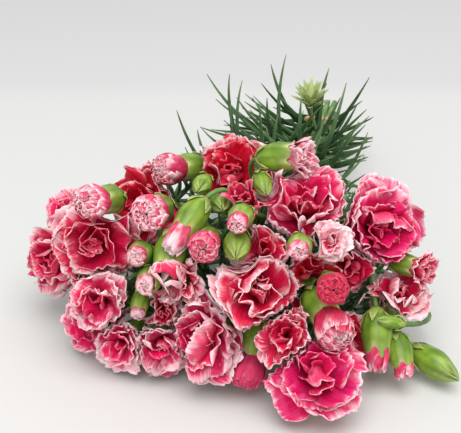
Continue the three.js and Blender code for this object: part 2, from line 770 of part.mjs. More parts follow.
function whorlSheet(head, whorl, room, dice) {
  const points = [dishPoint(head, whorl, 0, 0, 0, whorl.length)];
  const faces = [];
  const start = dice() * 2 * Math.PI;
  const turn = 2 * Math.PI / whorl.count;
  const marks = PETAL_MARKS.length;
  for (let k = 0; k < whorl.count; k += 1) {
    const angle = start + (k + 0.25 * (dice() - 0.5)) * turn;
    const long = whorl.length * (0.9 + 0.2 * dice());
    const wave = whorl.wave * (0.7 + 0.6 * dice()) * (dice() < 0.5 ? -1 : 1);
    points.push(dishPoint(head, whorl, start + (k - 0.5) * turn, 0, NOTCH_AT, whorl.length));
    PETAL_MARKS.forEach(([u, v], i) => {
      const point = dishPoint(head, whorl, angle, u, v, long);
      points.push(point.addScaledVector(head.axis, wave * EDGE_WAVE[i]));
    });
    const notch = 1 + k * (marks + 1);
    const next = 1 + ((k + 1) % whorl.count) * (marks + 1);
    const [low, lowEdge, highEdge, high] = PETAL_MARKS.map((mark, i) => notch + 1 + i);
    faces.push(0, notch, next, notch, low, high, notch, high, next);
    faces.push(low, lowEdge, highEdge, low, highEdge, high);
  }
  points.forEach((point) => pressIn(point, room));
  return thicken(points, faces, PETAL_THICK);
}

// Gives a surface its thickness: both sides split alike, and a wall along its open edge.
function thicken(points, faces, thickness) {
  const surface = new THREE.BufferGeometry().setFromPoints(points);
  surface.setIndex(faces);
  surface.computeVertexNormals();
  const normal = surface.attributes.normal;
  const shell = [];
  [0.5, -0.5].forEach((half) => points.forEach((point, i) => {
    const out = vec(normal.getX(i), normal.getY(i), normal.getZ(i));
    shell.push(point.clone().addScaledVector(out, half * thickness));
  }));
  const edges = new Set();
  const corners = [];
  const count = points.length;
  for (let f = 0; f < faces.length; f += 3) {
    const [a, b, c] = faces.slice(f, f + 3);
    corners.push(a, b, c, count + a, count + c, count + b);
    [[a, b], [b, c], [c, a]].forEach((edge) => edges.add(edge.join()));
  }
  edges.forEach((edge) => {
    const [a, b] = edge.split(',').map(Number);
    if (edges.has([b, a].join())) return;
    corners.push(a, count + b, b, a, count + a, count + b);
  });
  const geometry = new THREE.BufferGeometry().setFromPoints(shell);
  geometry.setIndex(corners);
  return toSolid(geometry);
}

// Whorls from the flat outer petals to the upright ones round the throat, as parts of the bloom's width.
const WHORLS = [
  { count: 5, tiltFrom: 62, tiltTo: 100, length: 0.54, width: 0.26, height: 0.05, cup: 0.1, wave: 1.8 },
  { count: 4, tiltFrom: 50, tiltTo: 62, length: 0.44, width: 0.2, height: 0.12, cup: 0.15, wave: 1.6 },
];
const SMALL_BLOOM = 33;

function sizedWhorl(whorl, size, dice) {
  return {
    count: size < SMALL_BLOOM ? whorl.count - 1 : whorl.count,
    tiltFrom: rad(whorl.tiltFrom + 5 * (dice() - 0.5)),
    tiltTo: rad(whorl.tiltTo + 8 * (dice() - 0.5)),
    length: whorl.length * size,
    width: whorl.width * size,
    height: whorl.height * size,
    cup: whorl.cup,
    wave: whorl.wave,
  };
}

// The tight heart: upright petals round the throat, as a rim that runs out and in round a raised middle.
// Each ring gives how far along the axis it is, how wide, and how much every other corner is lower
// and wider.
const HEART_RINGS = [[0, 0.42, 0, 0], [0.86, 0.8, 0.16, 0.34], [0.62, 0.36, 0, 0.1], [1, 0.2, 0.06, 0]];
const HEART_SIDES = 6;
const HEART_TWIST = 0.35;
const HEART = { tall: 0.34, wide: 0.2 };
const TUFT = { tall: 0.72, wide: 0.52 };

function heartSolid(head, tall, wide, turned) {
  const last = HEART_RINGS.length - 1;
  const [side, over] = squareTo(head.axis);
  const plain = new THREE.CylinderGeometry(1, 1, 1, HEART_SIDES, last);
  return toSolid(reshape(plain, (x, y, z) => {
    const i = Math.round((y + 0.5) * last);
    const [along, size, drop, spread] = HEART_RINGS[i];
    const corner = Math.round(Math.atan2(z, x) / (2 * Math.PI) * HEART_SIDES);
    const lower = corner % 2 === 0 ? 0 : 1;
    const angle = -corner * 2 * Math.PI / HEART_SIDES + turned + HEART_TWIST * i;
    const reach = Math.hypot(x, z) * wide * (size + lower * spread);
    return head.rim.clone()
      .addScaledVector(head.axis, GAP + tall * (along - lower * drop))
      .addScaledVector(side, reach * Math.cos(angle))
      .addScaledVector(over, reach * Math.sin(angle));
  }));
}

function makeBloom(head, blooms, wires, neighbours, dice) {
  const room = { ...bloomWalls(head, blooms), bars: barsNear(head, wires) };
  const solids = [heartSolid(head, HEART.tall * head.size, HEART.wide * head.size, dice())];
  WHORLS.forEach((whorl) => solids.push(whorlSheet(head, sizedWhorl(whorl, head.size, dice), room, dice)));
  let bloom = fuse(solids);
  const pressed = pressedRoom(head, room);
  bloom = pressed.reduce((rest, wall) => rest.trimByPlane(wall.normal, wall.offset), bloom);
  return cutClear(aboveTable(bloom), neighbours);
}

function pressedRoom(head, room) {
  return room.walls.slice(1).map((wall) => ({
    normal: wall.normal.clone().negate().toArray(),
    offset: -(wall.normal.dot(room.heart) + wall.limit),
  }));
}

// An opening bud's petals: a ruffled tuft standing out of the calyx, and the plain room that it fills.
const ROOM_SIDES = 8;

function makeTuft(head, dice) {
  return heartSolid(head, TUFT.tall * head.size, TUFT.wide * head.size, dice());
}

function tuftRoom(head) {
  const rings = [[0, 0.42], [0.5, 1.1], [0.9, 1.1], [1, 0.7]].map(([along, size]) => ({
    point: head.rim.clone().addScaledVector(head.axis, GAP + along * TUFT.tall * head.size),
    radius: size * TUFT.wide * head.size,
  }));
  return bar(rings, ROOM_SIDES, GAP);
}

// A closed bud's furled petals: a short blunt cone, each ring with how far along and how wide it is.
const FURL_RINGS = [[0, 0.36], [0.17, 0.35], [0.34, 0.24], [0.42, 0.1]];

function makeFurl(head, grow = 0) {
  const rings = FURL_RINGS.map(([along, size]) => ({
    point: head.rim.clone().addScaledVector(head.axis, GAP + along * head.size),
    radius: size * head.size,
  }));
  return bar(rings, FURL_SIDES, grow);
}

// The band round the stems, and what it is stretched over
function makeBand() {
  const half = 1.5 * STEM_PITCH + STEM_RADIUS + GAP;
  const tall = 2 * ROW_RISE * STEM_PITCH + 2 * (STEM_RADIUS + GAP);
  const ring = (grow) => {
    const outline = new THREE.Shape();
    const r = STEM_RADIUS + GAP + grow;
    const x = half + grow;
    const low = -grow;
    const high = tall + grow;
    outline.moveTo(-x + r, low);
    outline.lineTo(x - r, low);
    outline.absarc(x - r, low + r, r, -Math.PI / 2, 0, false);
    outline.absarc(x - r, high - r, r, 0, Math.PI / 2, false);
    outline.absarc(-x + r, high - r, r, Math.PI / 2, Math.PI, false);
    outline.absarc(-x + r, low + r, r, Math.PI, 1.5 * Math.PI, false);
    return outline;
  };
  const outline = ring(BAND_THICK);
  outline.holes.push(ring(0));
  const extrusion = { depth: BAND_WIDTH, bevelEnabled: false, curveSegments: 2 };
  const geometry = new THREE.ExtrudeGeometry(outline, extrusion);
  geometry.rotateX(Math.PI / 2);
  geometry.translate(MIDDLE_X, TIE_Y + 0.5 * BAND_WIDTH, BAND_THICK);
  return toSolid(geometry);
}

// Building the bunch

function makeMesh(name, solid, look) {
  const mesh = new THREE.Mesh(toGeometry(cleaned(solid)), new THREE.MeshStandardMaterial(look));
  mesh.name = name;
  return mesh;
}

function buildBunch() {
  const sprays = SPRAYS.map((spray) => ({ ...spray, heads: spray.heads.map(measureHead) }));
  const heads = sprays.flatMap((spray) => spray.heads);
  const blooms = heads.filter((head) => head.kind === 'bloom');
  const dice = makeDice(SEED);
  const wires = layWires(sprays);
  settle(wires);
  const leaves = growLeaves(wires, dice);

  const bunch = new THREE.Group();
  const made = [];
  const keep = (name, solid, fat, look) => {
    bunch.add(makeMesh(name, solid, look));
    made.push(...fat.map((item) => ({ name, fat: item })));
  };

  const band = makeBand();
  keep('rubber_band', band, [band], RUBBER);
  sprays.forEach((spray, number) => {
    const parts = sprayParts(wires, leaves, number);
    const solid = cutClear(aboveTable(fuse(parts.map((part) => part(0)))), made);
    keep(spray.name, solid, parts.map((part) => part(GAP)), GREEN);
  });

  heads.filter((head) => head.kind === 'bud').forEach((head) => {
    const furl = cutClear(aboveTable(makeFurl(head)), made);
    keep(head.name, furl, [makeFurl(head, GAP)], PINK);
  });
  heads.filter((head) => head.kind === 'opening').forEach((head) => {
    const tuft = cutClear(aboveTable(makeTuft(head, dice)), made);
    keep(head.name, tuft, [tuftRoom(head)], PINK);
  });
  blooms.forEach((head) => {
    const bloom = makeBloom(head, blooms, wires, made, dice);
    bunch.add(makeMesh(head.name, bloom, RED));
  });

  const middle = new THREE.Box3().setFromObject(bunch).getCenter(vec(0, 0, 0));
  bunch.position.set(-toGrid(middle.x), -toGrid(middle.y), 0);
  return bunch;
}

const bunch = buildBunch();

export default bunch;
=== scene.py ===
# %% [markdown]
# # A bunch of spray carnations
# The bunch lies on a table: ruffled crimson and pink heads in front, leafy stems behind them. The packed
# solids give the frame, and this lesson dresses them with fine petals, calyces, leaves and materials.
# The frame is loaded first, and its outline is kept, because the fine pieces have to stay inside it.

# %% Load the frame
import math
import bmesh
import bpy
import numpy as np
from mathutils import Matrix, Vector


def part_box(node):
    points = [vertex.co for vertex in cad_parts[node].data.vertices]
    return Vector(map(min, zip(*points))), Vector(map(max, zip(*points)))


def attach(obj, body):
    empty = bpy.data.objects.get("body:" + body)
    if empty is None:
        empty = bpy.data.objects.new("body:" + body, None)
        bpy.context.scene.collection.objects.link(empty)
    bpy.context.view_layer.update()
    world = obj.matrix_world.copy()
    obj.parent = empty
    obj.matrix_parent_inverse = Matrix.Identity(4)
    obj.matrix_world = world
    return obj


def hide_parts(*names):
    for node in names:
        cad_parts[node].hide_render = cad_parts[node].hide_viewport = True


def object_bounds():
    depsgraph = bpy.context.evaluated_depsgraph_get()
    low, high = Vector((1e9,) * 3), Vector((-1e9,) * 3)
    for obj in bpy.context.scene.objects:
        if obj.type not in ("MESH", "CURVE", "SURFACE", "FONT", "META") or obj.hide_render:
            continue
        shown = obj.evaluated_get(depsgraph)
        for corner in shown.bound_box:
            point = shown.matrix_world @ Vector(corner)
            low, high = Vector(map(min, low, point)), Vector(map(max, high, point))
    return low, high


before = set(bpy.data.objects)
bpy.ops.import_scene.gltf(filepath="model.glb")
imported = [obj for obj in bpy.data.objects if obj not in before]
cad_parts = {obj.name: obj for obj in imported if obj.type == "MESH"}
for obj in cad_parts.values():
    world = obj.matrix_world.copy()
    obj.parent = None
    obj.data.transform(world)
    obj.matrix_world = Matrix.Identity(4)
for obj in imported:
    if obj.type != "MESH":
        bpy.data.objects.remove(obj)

solid_low, solid_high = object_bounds()
print("solids reach from", [round(v, 4) for v in solid_low], "to", [round(v, 4) for v in solid_high])

# %% [markdown]
# ## Where every head is
# The heads stand in the same places as in the solids. Each spray names its stem's place in the bundle,
# then its heads: the first one is the stem's tip. A head is given by its name, its kind, the place of
# its face in millimetres, its turn and lift in degrees, its width, and how pink it is (0 is crimson).

# %% The sprays and their heads
SPRAYS = [
    ("spray_far_left", -1.5, 2, [
        ("bloom_far_left", "bloom", (-92, -136, 38), -26, 15, 42, 0.45),
        ("bloom_far_left_upper", "bloom", (-91, -116, 54), -22, 40, 28, 0.6),
        ("opening_left_top", "opening", (-57, -158, 85), -12, 20, 16, 0.45),
        ("opening_left_low", "opening", (-66, -157, 42), 39, 16, 11, 0.7)]),
    ("spray_left", -0.5, 2, [
        ("bloom_left", "bloom", (-61, -156, 60), 4, 22, 45, 0.3),
        ("bloom_left_back", "bloom", (-51, -116, 63), -30, 26, 42, 0),
        ("opening_left_back", "opening", (-32, -108, 82), -28, 14, 16.5, 0.4),
        ("opening_left_inner", "opening", (-31, -154, 80), 2, 20, 17, 0.5)]),
    ("spray_lower_left", -1.5, 0, [
        ("bloom_left_bottom", "bloom", (-59, -168, 21), -12, 3, 38, 0.75),
        ("bloom_left_mid", "bloom", (-53, -178, 41), -9, 22, 32, 0.55),
        ("bud_left_low", "bud", (-34, -172, 38), 6, -24, 10, 0.4),
        ("bud_left_mid", "bud", (-27, -178, 56), 6, 14, 13.5, 0.4)]),
    ("spray_low", -0.5, 0, [
        ("bloom_low", "bloom", (-22, -179, 21), 16, 8, 33, 0.6),
        ("bloom_low_left", "bloom", (-42, -180, 19), -4, 8, 30, 0.65),
        ("bloom_low_mid", "bloom", (-23, -172, 36), 4, 20, 24, 0.25),
        ("bud_left_high", "bud", (-34, -168, 64), 4, 20, 13.5, 0.4)]),
    ("spray_mid", -1, 1, [
        ("bloom_mid_low", "bloom", (-2, -181, 31), -24, 22, 44, 0.6),
        ("opening_mid", "opening", (-14, -171, 54), 10, 14, 17, 0.3),
        ("bud_mid_left", "bud", (-20, -167, 63), 0, -34, 17.5, 0.5),
        ("bud_mid_top", "bud", (-12, -159, 79), -23, -28, 16, 0.5)]),
    ("spray_top", 0.5, 2, [
        ("bloom_top", "bloom", (-3, -99, 80), 8, 48, 42, 0),
        ("opening_top", "opening", (11, -140, 82), 8, 50, 16, 0.2),
        ("bud_top_left", "green", (-14, -124, 82), 1, 7, 11, 0),
        ("bud_top_mid", "green", (-2, -136, 79), 18, 9, 12, 0),
        ("bud_top_right", "green", (18, -132, 89), 22, -6, 10, 0)]),
    ("spray_centre", 0, 1, [
        ("bloom_centre", "bloom", (25, -178, 58), 14, 48, 43, 0.2),
        ("bloom_centre_back", "bloom", (23, -156, 66), 10, 46, 32, 0.15),
        ("opening_centre", "opening", (-2, -168, 73), 8, 16, 14.5, 0.45),
        ("bud_centre", "green", (12, -164, 72), 10, 4, 14.5, 0),
        ("bud_centre_top", "bud", (13, -162, 85), 2, 8, 13.5, 0.5)]),
    ("spray_front", 0.5, 0, [
        ("bloom_front", "bloom", (54, -193, 28), 8, 46, 44, 0.85),
        ("bloom_front_back", "bloom", (39, -187, 41), 1, 34, 30, 0.25),
        ("opening_front_left", "opening", (21, -178, 18), -2, -46, 16.5, 0.7),
        ("opening_front_right", "opening", (58, -178, 45), 30, -6, 17.5, 0.3)]),
    ("spray_top_right", 1.5, 2, [
        ("bloom_top_right", "bloom", (39, -135, 82), 8, 54, 52, 0.55),
        ("bloom_inner", "bloom", (45, -157, 54), 13, 20, 30, 0),
        ("opening_top_right", "opening", (33, -120, 100), 74, 14, 16.5, 0.8),
        ("bud_right_high", "bud", (42, -171, 78), 6, 16, 13, 0.6)]),
    ("spray_right", 1, 1, [
        ("bloom_right", "bloom", (75, -131, 70), 34, 26, 49, 0.8),
        ("bloom_right_small", "bloom", (55, -161, 77), 9, 22, 19, 0.4),
        ("bloom_right_under", "bloom", (64, -139, 52), 23, 3, 34, 0.3),
        ("opening_right_mid", "opening", (58, -176, 62), 10, 24, 14, 0.1),
        ("opening_right", "opening", (95, -136, 54), 58, 8, 12, 0.4)]),
    ("spray_lower_right", 1.5, 0, [
        ("bloom_lower_right", "bloom", (87, -138, 42), 20, 56, 32, 0.25),
        ("bloom_low_right", "bloom", (65, -149, 18), 14, 19, 28, 0.1),
        ("opening_low_right", "opening", (80, -128, 30), -60, 34, 12, 0.3),
        ("bud_low_right", "bud", (79, -156, 24), 10, -46, 17, 0.6),
        ("bud_lower_right", "bud", (91, -158, 17), 22, -38, 14, 0.5),
        ("bud_far_right", "green", (107, -150, 10), 50, -3, 16, 0),
        ("bud_right_small", "green", (85, -155, 34), -70, 16, 7, 0)]),
]

# %% [markdown]
# ## The sizes of a head
# A calyx is the green cup that holds the petals. Its length and its belly follow from the head's width,
# and so does the place of its mouth (rim) and of its foot (base), along the way that the head faces.

# %% Measure every head
RIM_AT = {"bloom": -0.27, "opening": 0, "bud": 0.48, "green": 0.95}
BUD_LENGTH = {"opening": 1.35, "bud": 1.35, "green": 1.9}
CALYX_SHAPE = {
    "bloom": [(0, 0.36), (0.14, 0.76), (1, 1.04)],
    "opening": [(0, 0.3), (0.14, 0.74), (0.5, 1), (1, 0.86)],
    "bud": [(0, 0.3), (0.14, 0.72), (0.5, 1), (1, 0.74)],
    "green": [(0, 0.3), (0.14, 0.7), (0.5, 1), (0.8, 0.8), (1, 0.2)]}


def unit(v):
    return v / np.linalg.norm(v)


def measure_head(name, kind, at, turn, lift, size, pink):
    turn, lift = math.radians(turn), math.radians(lift)
    level = math.cos(lift)
    axis = np.array([math.sin(turn) * level, -math.cos(turn) * level, math.sin(lift)])
    at = np.array(at, float)
    if kind == "bloom":
        belly, length = 2.8 + 0.075 * size, 10 + 0.3 * size
    else:
        belly, length = 0.46 * size, BUD_LENGTH[kind] * size
    rim = at + axis * RIM_AT[kind] * size
    return dict(name=name, kind=kind, at=at, axis=axis, size=size, belly=belly, rim=rim,
                base=rim - axis * length, calyx_length=length, pink=pink)


sprays = [dict(name=name, column=column, row=row, heads=[measure_head(*head) for head in heads])
          for name, column, row, heads in SPRAYS]
heads = [head for spray in sprays for head in spray["heads"]]
blooms = [head for head in heads if head["kind"] == "bloom"]
print(len(sprays), "sprays,", len(heads), "heads,", len(blooms), "open blooms")

# %% [markdown]
# ## Stems and stalks as wires
# Every stem runs from its foot through the band and up to its first head. Its other heads hang on stalks
# that leave it some way below the tip. Wires are chains of points about 5 mm apart on smooth curves.

# %% Curves of stems and stalks
STEM_RADIUS = 2.0
STALK_RADIUS = 1.25
MIDDLE_X, TIE_Y, FOOT_Y = 10, 150, 196
LOWEST_BEND = 6
STEM_PITCH = 4.6
BAND_THICK = 1.2
GAP = 0.35
STEP = 4.8


def run_along(points):
    """How far along a chain of points each of them is."""
    return np.concatenate([[0], np.cumsum(np.linalg.norm(np.diff(points, axis=0), axis=1))])


def curve_points(start, leave, arrive, end):
    """Evenly spaced points on a curve with four control points."""
    def at(t):
        t = t[:, None]
        return ((1 - t) ** 3 * start + 3 * (1 - t) ** 2 * t * leave
                + 3 * (1 - t) * t ** 2 * arrive + t ** 3 * end)
    fine = np.linspace(0, 1, 201)
    run = run_along(at(fine))
    steps = max(4, math.floor(run[-1] / STEP + 0.5))
    return at(np.interp(np.linspace(0, run[-1], steps + 1), run, fine))


def bundle_slot(spray, y):
    """A spray's place in the bundle at a y; the bundle is a little wider at its foot than in the band."""
    at_foot = y > TIE_Y
    pitch = STEM_PITCH * (1.15 if at_foot else 1)
    lowest = STEM_RADIUS * 0.9 if at_foot else STEM_RADIUS + BAND_THICK + 1.5 * GAP
    return np.array([MIDDLE_X + spray["column"] * pitch, y, lowest + spray["row"] * 0.87 * pitch])


def stem_points(spray):
    tip = spray["heads"][0]
    foot, tie = bundle_slot(spray, FOOT_Y), bundle_slot(spray, TIE_Y)
    lower = curve_points(foot, foot + 0.35 * (tie - foot), foot + 0.7 * (tie - foot), tie)
    arrive = tip["base"] - 45 * tip["axis"]
    arrive[2] = max(arrive[2], LOWEST_BEND)
    upper = curve_points(tie, tie + np.array([0, -70, 0]), arrive, tip["base"])
    return np.concatenate([lower, upper[1:]])


def stalk_points(start, along, head):
    reach = 0.4 * np.linalg.norm(start - head["base"])
    arrive = head["base"] - reach * head["axis"]
    arrive[2] = max(arrive[2], LOWEST_BEND)
    return curve_points(start, start + reach * along, arrive, head["base"])


print("a stem of", len(stem_points(sprays[0])), "points")

# %% [markdown]
# ## Laying the wires
# The first stalk leaves its stem 41 mm below the tip, and each further one 15 mm lower. A wire remembers
# which of its points are held: a stem's from the band down, and its last two under the head.

# %% Lay the wires
HELD_FROM_Y = TIE_Y - 8
FIRST_STALK, STALK_PITCH = 41, 15
wires = []
for number, spray in enumerate(sprays):
    points = stem_points(spray)
    last = len(points) - 1
    held = [point[1] > HELD_FROM_Y or i >= last - 1 for i, point in enumerate(points)]
    wires.append(dict(spray=number, head=spray["heads"][0], radius=STEM_RADIUS, points=points,
                      stem=None, joint=0, held=held))
    stem_number = len(wires) - 1
    spacing = np.linalg.norm(points[-1] - points[-2])
    for k, head in enumerate(spray["heads"][1:]):
        joint = last - math.floor((FIRST_STALK + STALK_PITCH * k) / spacing + 0.5)
        along = unit(points[joint + 2] - points[joint])
        chain = stalk_points(points[joint], along, head)
        held = [i >= len(chain) - 2 for i in range(len(chain))]
        wires.append(dict(spray=number, head=head, radius=STALK_RADIUS, points=chain,
                          stem=stem_number, joint=joint, held=held))
print(len(wires), "wires with", sum(len(wire["points"]) for wire in wires), "points")

# %% [markdown]
# ## Balls along the wires
# To keep everything apart, wires and heads are taken as balls: one at every point of a wire, and a few
# that fill a head's calyx and the heart of its petals.

# %% Balls of wires and heads
def head_balls(head):
    """Balls that fill a head's calyx and heart, each with its middle and radius."""
    balls = [(head["base"] + head["axis"] * along * head["calyx_length"], size * head["belly"])
             for along, size in ((0.1, 0.6), (0.35, 0.9), (0.65, 1), (0.95, 0.9))]
    if head["kind"] == "bloom":
        balls.append((head["at"] - 0.12 * head["size"] * head["axis"], 0.3 * head["size"]))
    elif head["kind"] != "green":
        balls.append((head["rim"] + 0.3 * head["size"] * head["axis"], 0.42 * head["size"]))
    return balls


def gather_balls():
    rows = []
    for number, wire in enumerate(wires):
        for i, point in enumerate(wire["points"]):
            near_joint = wire["stem"] is not None and i < 3
            rows.append((*point, wire["radius"], number, wire["spray"], wire["held"][i], near_joint))
        for point, radius in head_balls(wire["head"]):
            rows.append((*point, radius, number, wire["spray"], True, False))
    return np.array(rows, float)


print(len(gather_balls()), "balls")

# %% [markdown]
# ## Settling
# Wires that come too close to each other, or to another head, push each other aside a little in each
# round, while every wire is kept smooth. This is the rule that the solids follow too. A wire's ends, its
# place in the band and every head are held, and a held neighbour leaves the whole push to the other one.

# %% Settle the wires
CLEAR = 1.3
NEIGHBOURS = 45
ROUNDS = 70
SMOOTH_ROUNDS = 55
SMOOTHING = 0.35
PUSH_HELD, PUSH_FREE = 0.8, 0.4


def settle():
    balls = gather_balls()
    place, radius = balls[:, :3].copy(), balls[:, 3]
    wire_of, spray_of, held, near = balls[:, 4], balls[:, 5], balls[:, 6] > 0, balls[:, 7] > 0
    one, two = np.triu_indices(len(balls), 1)
    close = np.linalg.norm(place[one] - place[two], axis=1) < radius[one] + radius[two] + NEIGHBOURS
    apart = (wire_of[one] != wire_of[two]) & ~(held[one] & held[two])
    joined = (spray_of[one] == spray_of[two]) & (near[one] | near[two])
    chosen = close & apart & ~joined
    one, two = one[chosen], two[chosen]
    need = radius[one] + radius[two] + CLEAR
    share = np.where(held[one] | held[two], PUSH_HELD, PUSH_FREE)
    starts, at = [], 0
    for wire in wires:
        starts.append(at)
        at += len(wire["points"]) + len(head_balls(wire["head"]))
    for turn in range(ROUNDS):
        push = place[two] - place[one]
        gap = np.maximum(np.linalg.norm(push, axis=1), 1e-6)
        push *= (share * np.maximum(need - gap, 0) / gap)[:, None]
        for k in range(3):
            moved = (np.bincount(two, push[:, k], len(place)) - np.bincount(one, push[:, k], len(place)))
            place[:, k] += np.where(held, 0, moved)
        place[:, 2] = np.where(held, place[:, 2], np.maximum(place[:, 2], radius + 0.2))
        for wire, start in zip(wires, starts):
            chain = place[start:start + len(wire["points"])]
            if turn < SMOOTH_ROUNDS:
                middle = 0.5 * (chain[:-2] + chain[2:])
                free = ~np.array(wire["held"][1:-1])
                chain[1:-1][free] += SMOOTHING * (middle - chain[1:-1])[free]
            wire["points"] = chain
        for wire in wires:
            if wire["stem"] is not None:
                wire["points"][0] = wires[wire["stem"]]["points"][wire["joint"]]


settle()
print("wires settled; the stems reach from y", round(min(w["points"][:, 1].min() for w in wires)),
      "to", round(max(w["points"][:, 1].max() for w in wires)), "mm")

# %% [markdown]
# ## The path of a leaf
# Carnation leaves are long and narrow. A leaf leaves its stem at a small angle and opens away from it in
# an arc. It is kept only where it has room: over the table, and clear of stems and heads.

# %% Dice and leaf paths
LEAF_MARKS = 9
LEAF_LOWEST = 1.0
LEAF_ROOM = (-62, 58, -62)


class Dice:
    """A seeded draw between two values, the same in every run."""

    def __init__(self, seed):
        self.state = seed

    def __call__(self, low=0.0, high=1.0):
        mask = 0xffffffff
        self.state = (self.state + 0x6d2b79f5) & mask
        mixed = ((self.state ^ (self.state >> 15)) * (self.state | 1)) & mask
        mixed = ((mixed + (mixed ^ (mixed >> 7)) * (mixed | 61)) & mask) ^ mixed
        return low + (high - low) * ((mixed ^ (mixed >> 14)) / 4294967296)


def square_to(axis):
    """Two directions square to an axis, the first one level."""
    side = unit(np.array([-axis[1], axis[0], 0.0]))
    return side, np.cross(axis, side)


def around(axis, angle):
    """The direction square to an axis at an angle round it."""
    side, over = square_to(axis)
    return side * math.cos(angle) + over * math.sin(angle)


def leaf_path(leaf, marks):
    """Points along a leaf that leaves its stem and opens away from it in an arc."""
    part = np.linspace(0, 1, marks + 1)
    span = leaf["open_to"] - leaf["open_from"]
    opened = leaf["open_from"] + span * part
    forward = leaf["length"] * (np.sin(opened) - math.sin(leaf["open_from"])) / span
    aside = leaf["length"] * (math.cos(leaf["open_from"]) - np.cos(opened)) / span
    path = leaf["root"] + forward[:, None] * leaf["along"] + aside[:, None] * leaf["out"]
    path[:, 2] -= leaf["droop"] * part * part
    return path


def is_clear(leaf, path, balls):
    """True if a leaf stays off the table and off all balls; near its root it may touch its own spray."""
    if path[:, 2].min() < LEAF_LOWEST:
        return False
    steps = np.arange(LEAF_MARKS + 1)
    reach = 0.5 * leaf["width"] * (1 - 0.6 * steps / LEAF_MARKS) + 0.7
    gap = np.linalg.norm(path[:, None] - balls[None, :, :3], axis=2) - reach[:, None] - balls[None, :, 3]
    own = (balls[None, :, 4] == leaf["spray"]) & (steps[:, None] < 3)
    return bool(np.all((gap > 0) | own))


def is_in_room(path):
    """Leaves of the stems stay beside and behind the heads."""
    left, right, front = LEAF_ROOM
    return path[:, 0].min() >= left and path[:, 0].max() <= right and path[:, 1].min() >= front


# %% [markdown]
# ## Pairs of leaves
# Leaves stand in pairs at the swollen nodes of a stem, to both sides of the way that leads out of the
# bundle. The dice are the ones that the solids use, so every large leaf lies where its solid lies. A leaf
# that would run into a stem, a head or another leaf is tried again at another angle, a little shorter.

# %% Grow the leaves
LEAF_NODES = (-4, 30, 62, 92, 116)
NODE_SPREAD = 22
LEAF_TRIES = 16
PAIR_ANGLES = (0.8, -0.8)


def bloom_heart(head):
    return head["at"] - 0.1 * head["size"] * head["axis"]


def balls_with_blooms(part, more):
    """The balls of all wires as rows of place, radius and spray, and one ball for each bloom's petals."""
    hearts = [(*bloom_heart(head), part * head["size"] + more, -1) for head in blooms]
    return np.vstack([gather_balls()[:, [0, 1, 2, 3, 5]], hearts])


def leaf_balls(leaf, path):
    steps = np.arange(LEAF_MARKS + 1) / LEAF_MARKS
    radius = 0.4 * leaf["width"] * (1 - 0.5 * steps) + 0.5
    return np.column_stack([path, radius, np.full(len(path), leaf["spray"])])


leaf_dice = Dice(4217)
balls = balls_with_blooms(0.5, 2)
leaves, nodes = [], []
for wire in wires:
    if wire["stem"] is not None:
        continue
    points = wire["points"]
    for node_y in LEAF_NODES:
        place = int(np.argmin(np.abs(points[:, 1] - leaf_dice(node_y, node_y + NODE_SPREAD))))
        along = unit(points[place + 1] - points[place - 1])
        side, over = square_to(along)
        away = points[place] - np.array([MIDDLE_X, points[place][1], 4])
        roll = math.atan2(away @ over, away @ side)
        nodes.append((wire["spray"], place))
        for pair_angle in PAIR_ANGLES:
            for attempt in range(LEAF_TRIES):
                angle = roll + pair_angle + leaf_dice(-0.5, 0.5) * (1 + 0.1 * attempt)
                out = around(along, angle)
                leaf = dict(along=along, out=out, root=points[place] + 0.4 * STEM_RADIUS * out,
                            length=leaf_dice(52, 86) * (1 - 0.015 * attempt),
                            open_from=math.radians(leaf_dice(22, 40)),
                            open_to=math.radians(leaf_dice(66, 124)),
                            droop=leaf_dice(-4, 10), width=leaf_dice(3, 3.8), spray=wire["spray"])
                path = leaf_path(leaf, LEAF_MARKS)
                if is_in_room(path) and is_clear(leaf, path, balls):
                    leaves.append(leaf)
                    balls = np.vstack([balls, leaf_balls(leaf, path)])
                    break
paired = len(leaves)
print(paired, "paired leaves")

# %% [markdown]
# ## Side shoots
# The foliage is dense, because young side shoots stand at the nodes too. Around each node, some steps up
# and down the stem, shorter leaves open to the sides, and small leaves fill the gaps between the stalks
# among the heads. They have dice of their own, and they may touch other leaves but no stem and no head.

# %% Grow the side shoots
SHOOT_STEPS = (0, 0, 2, 2, -3, -3, 4, 4, 6, 6, -5, -5)
SHOOT_SIDES = (-78, 82)
ROOM_TOP = 1000 * solid_high[2] - 1.5
AMONG_Y, AMONG_TOP = -30, 64
shoot_dice = Dice(77)
stems = [wire for wire in wires if wire["stem"] is None]
solid_balls = balls_with_blooms(0.42, 0)


def grow_shoot_leaf(points, spot, length, angle, spray, anywhere=False):
    """One short leaf, kept if it is clear of wires and heads and not out of its room."""
    along = unit(points[spot + 1] - points[spot - 1])
    out = around(along, angle)
    leaf = dict(along=along, length=length, out=out, spray=spray, short=True,
                root=points[spot] + 0.8 * out, open_from=math.radians(shoot_dice(16, 38)),
                open_to=math.radians(shoot_dice(50, 120)), droop=shoot_dice(-5, 6),
                width=shoot_dice(2.6, 3.8))
    path = leaf_path(leaf, LEAF_MARKS)
    beside = path[:, 0].min() < SHOOT_SIDES[0] or path[:, 0].max() > SHOOT_SIDES[1]
    held = (is_in_room(path) or anywhere) and not beside and path[:, 2].max() <= ROOM_TOP
    if held and is_clear(leaf, path, solid_balls):
        leaves.append(leaf)


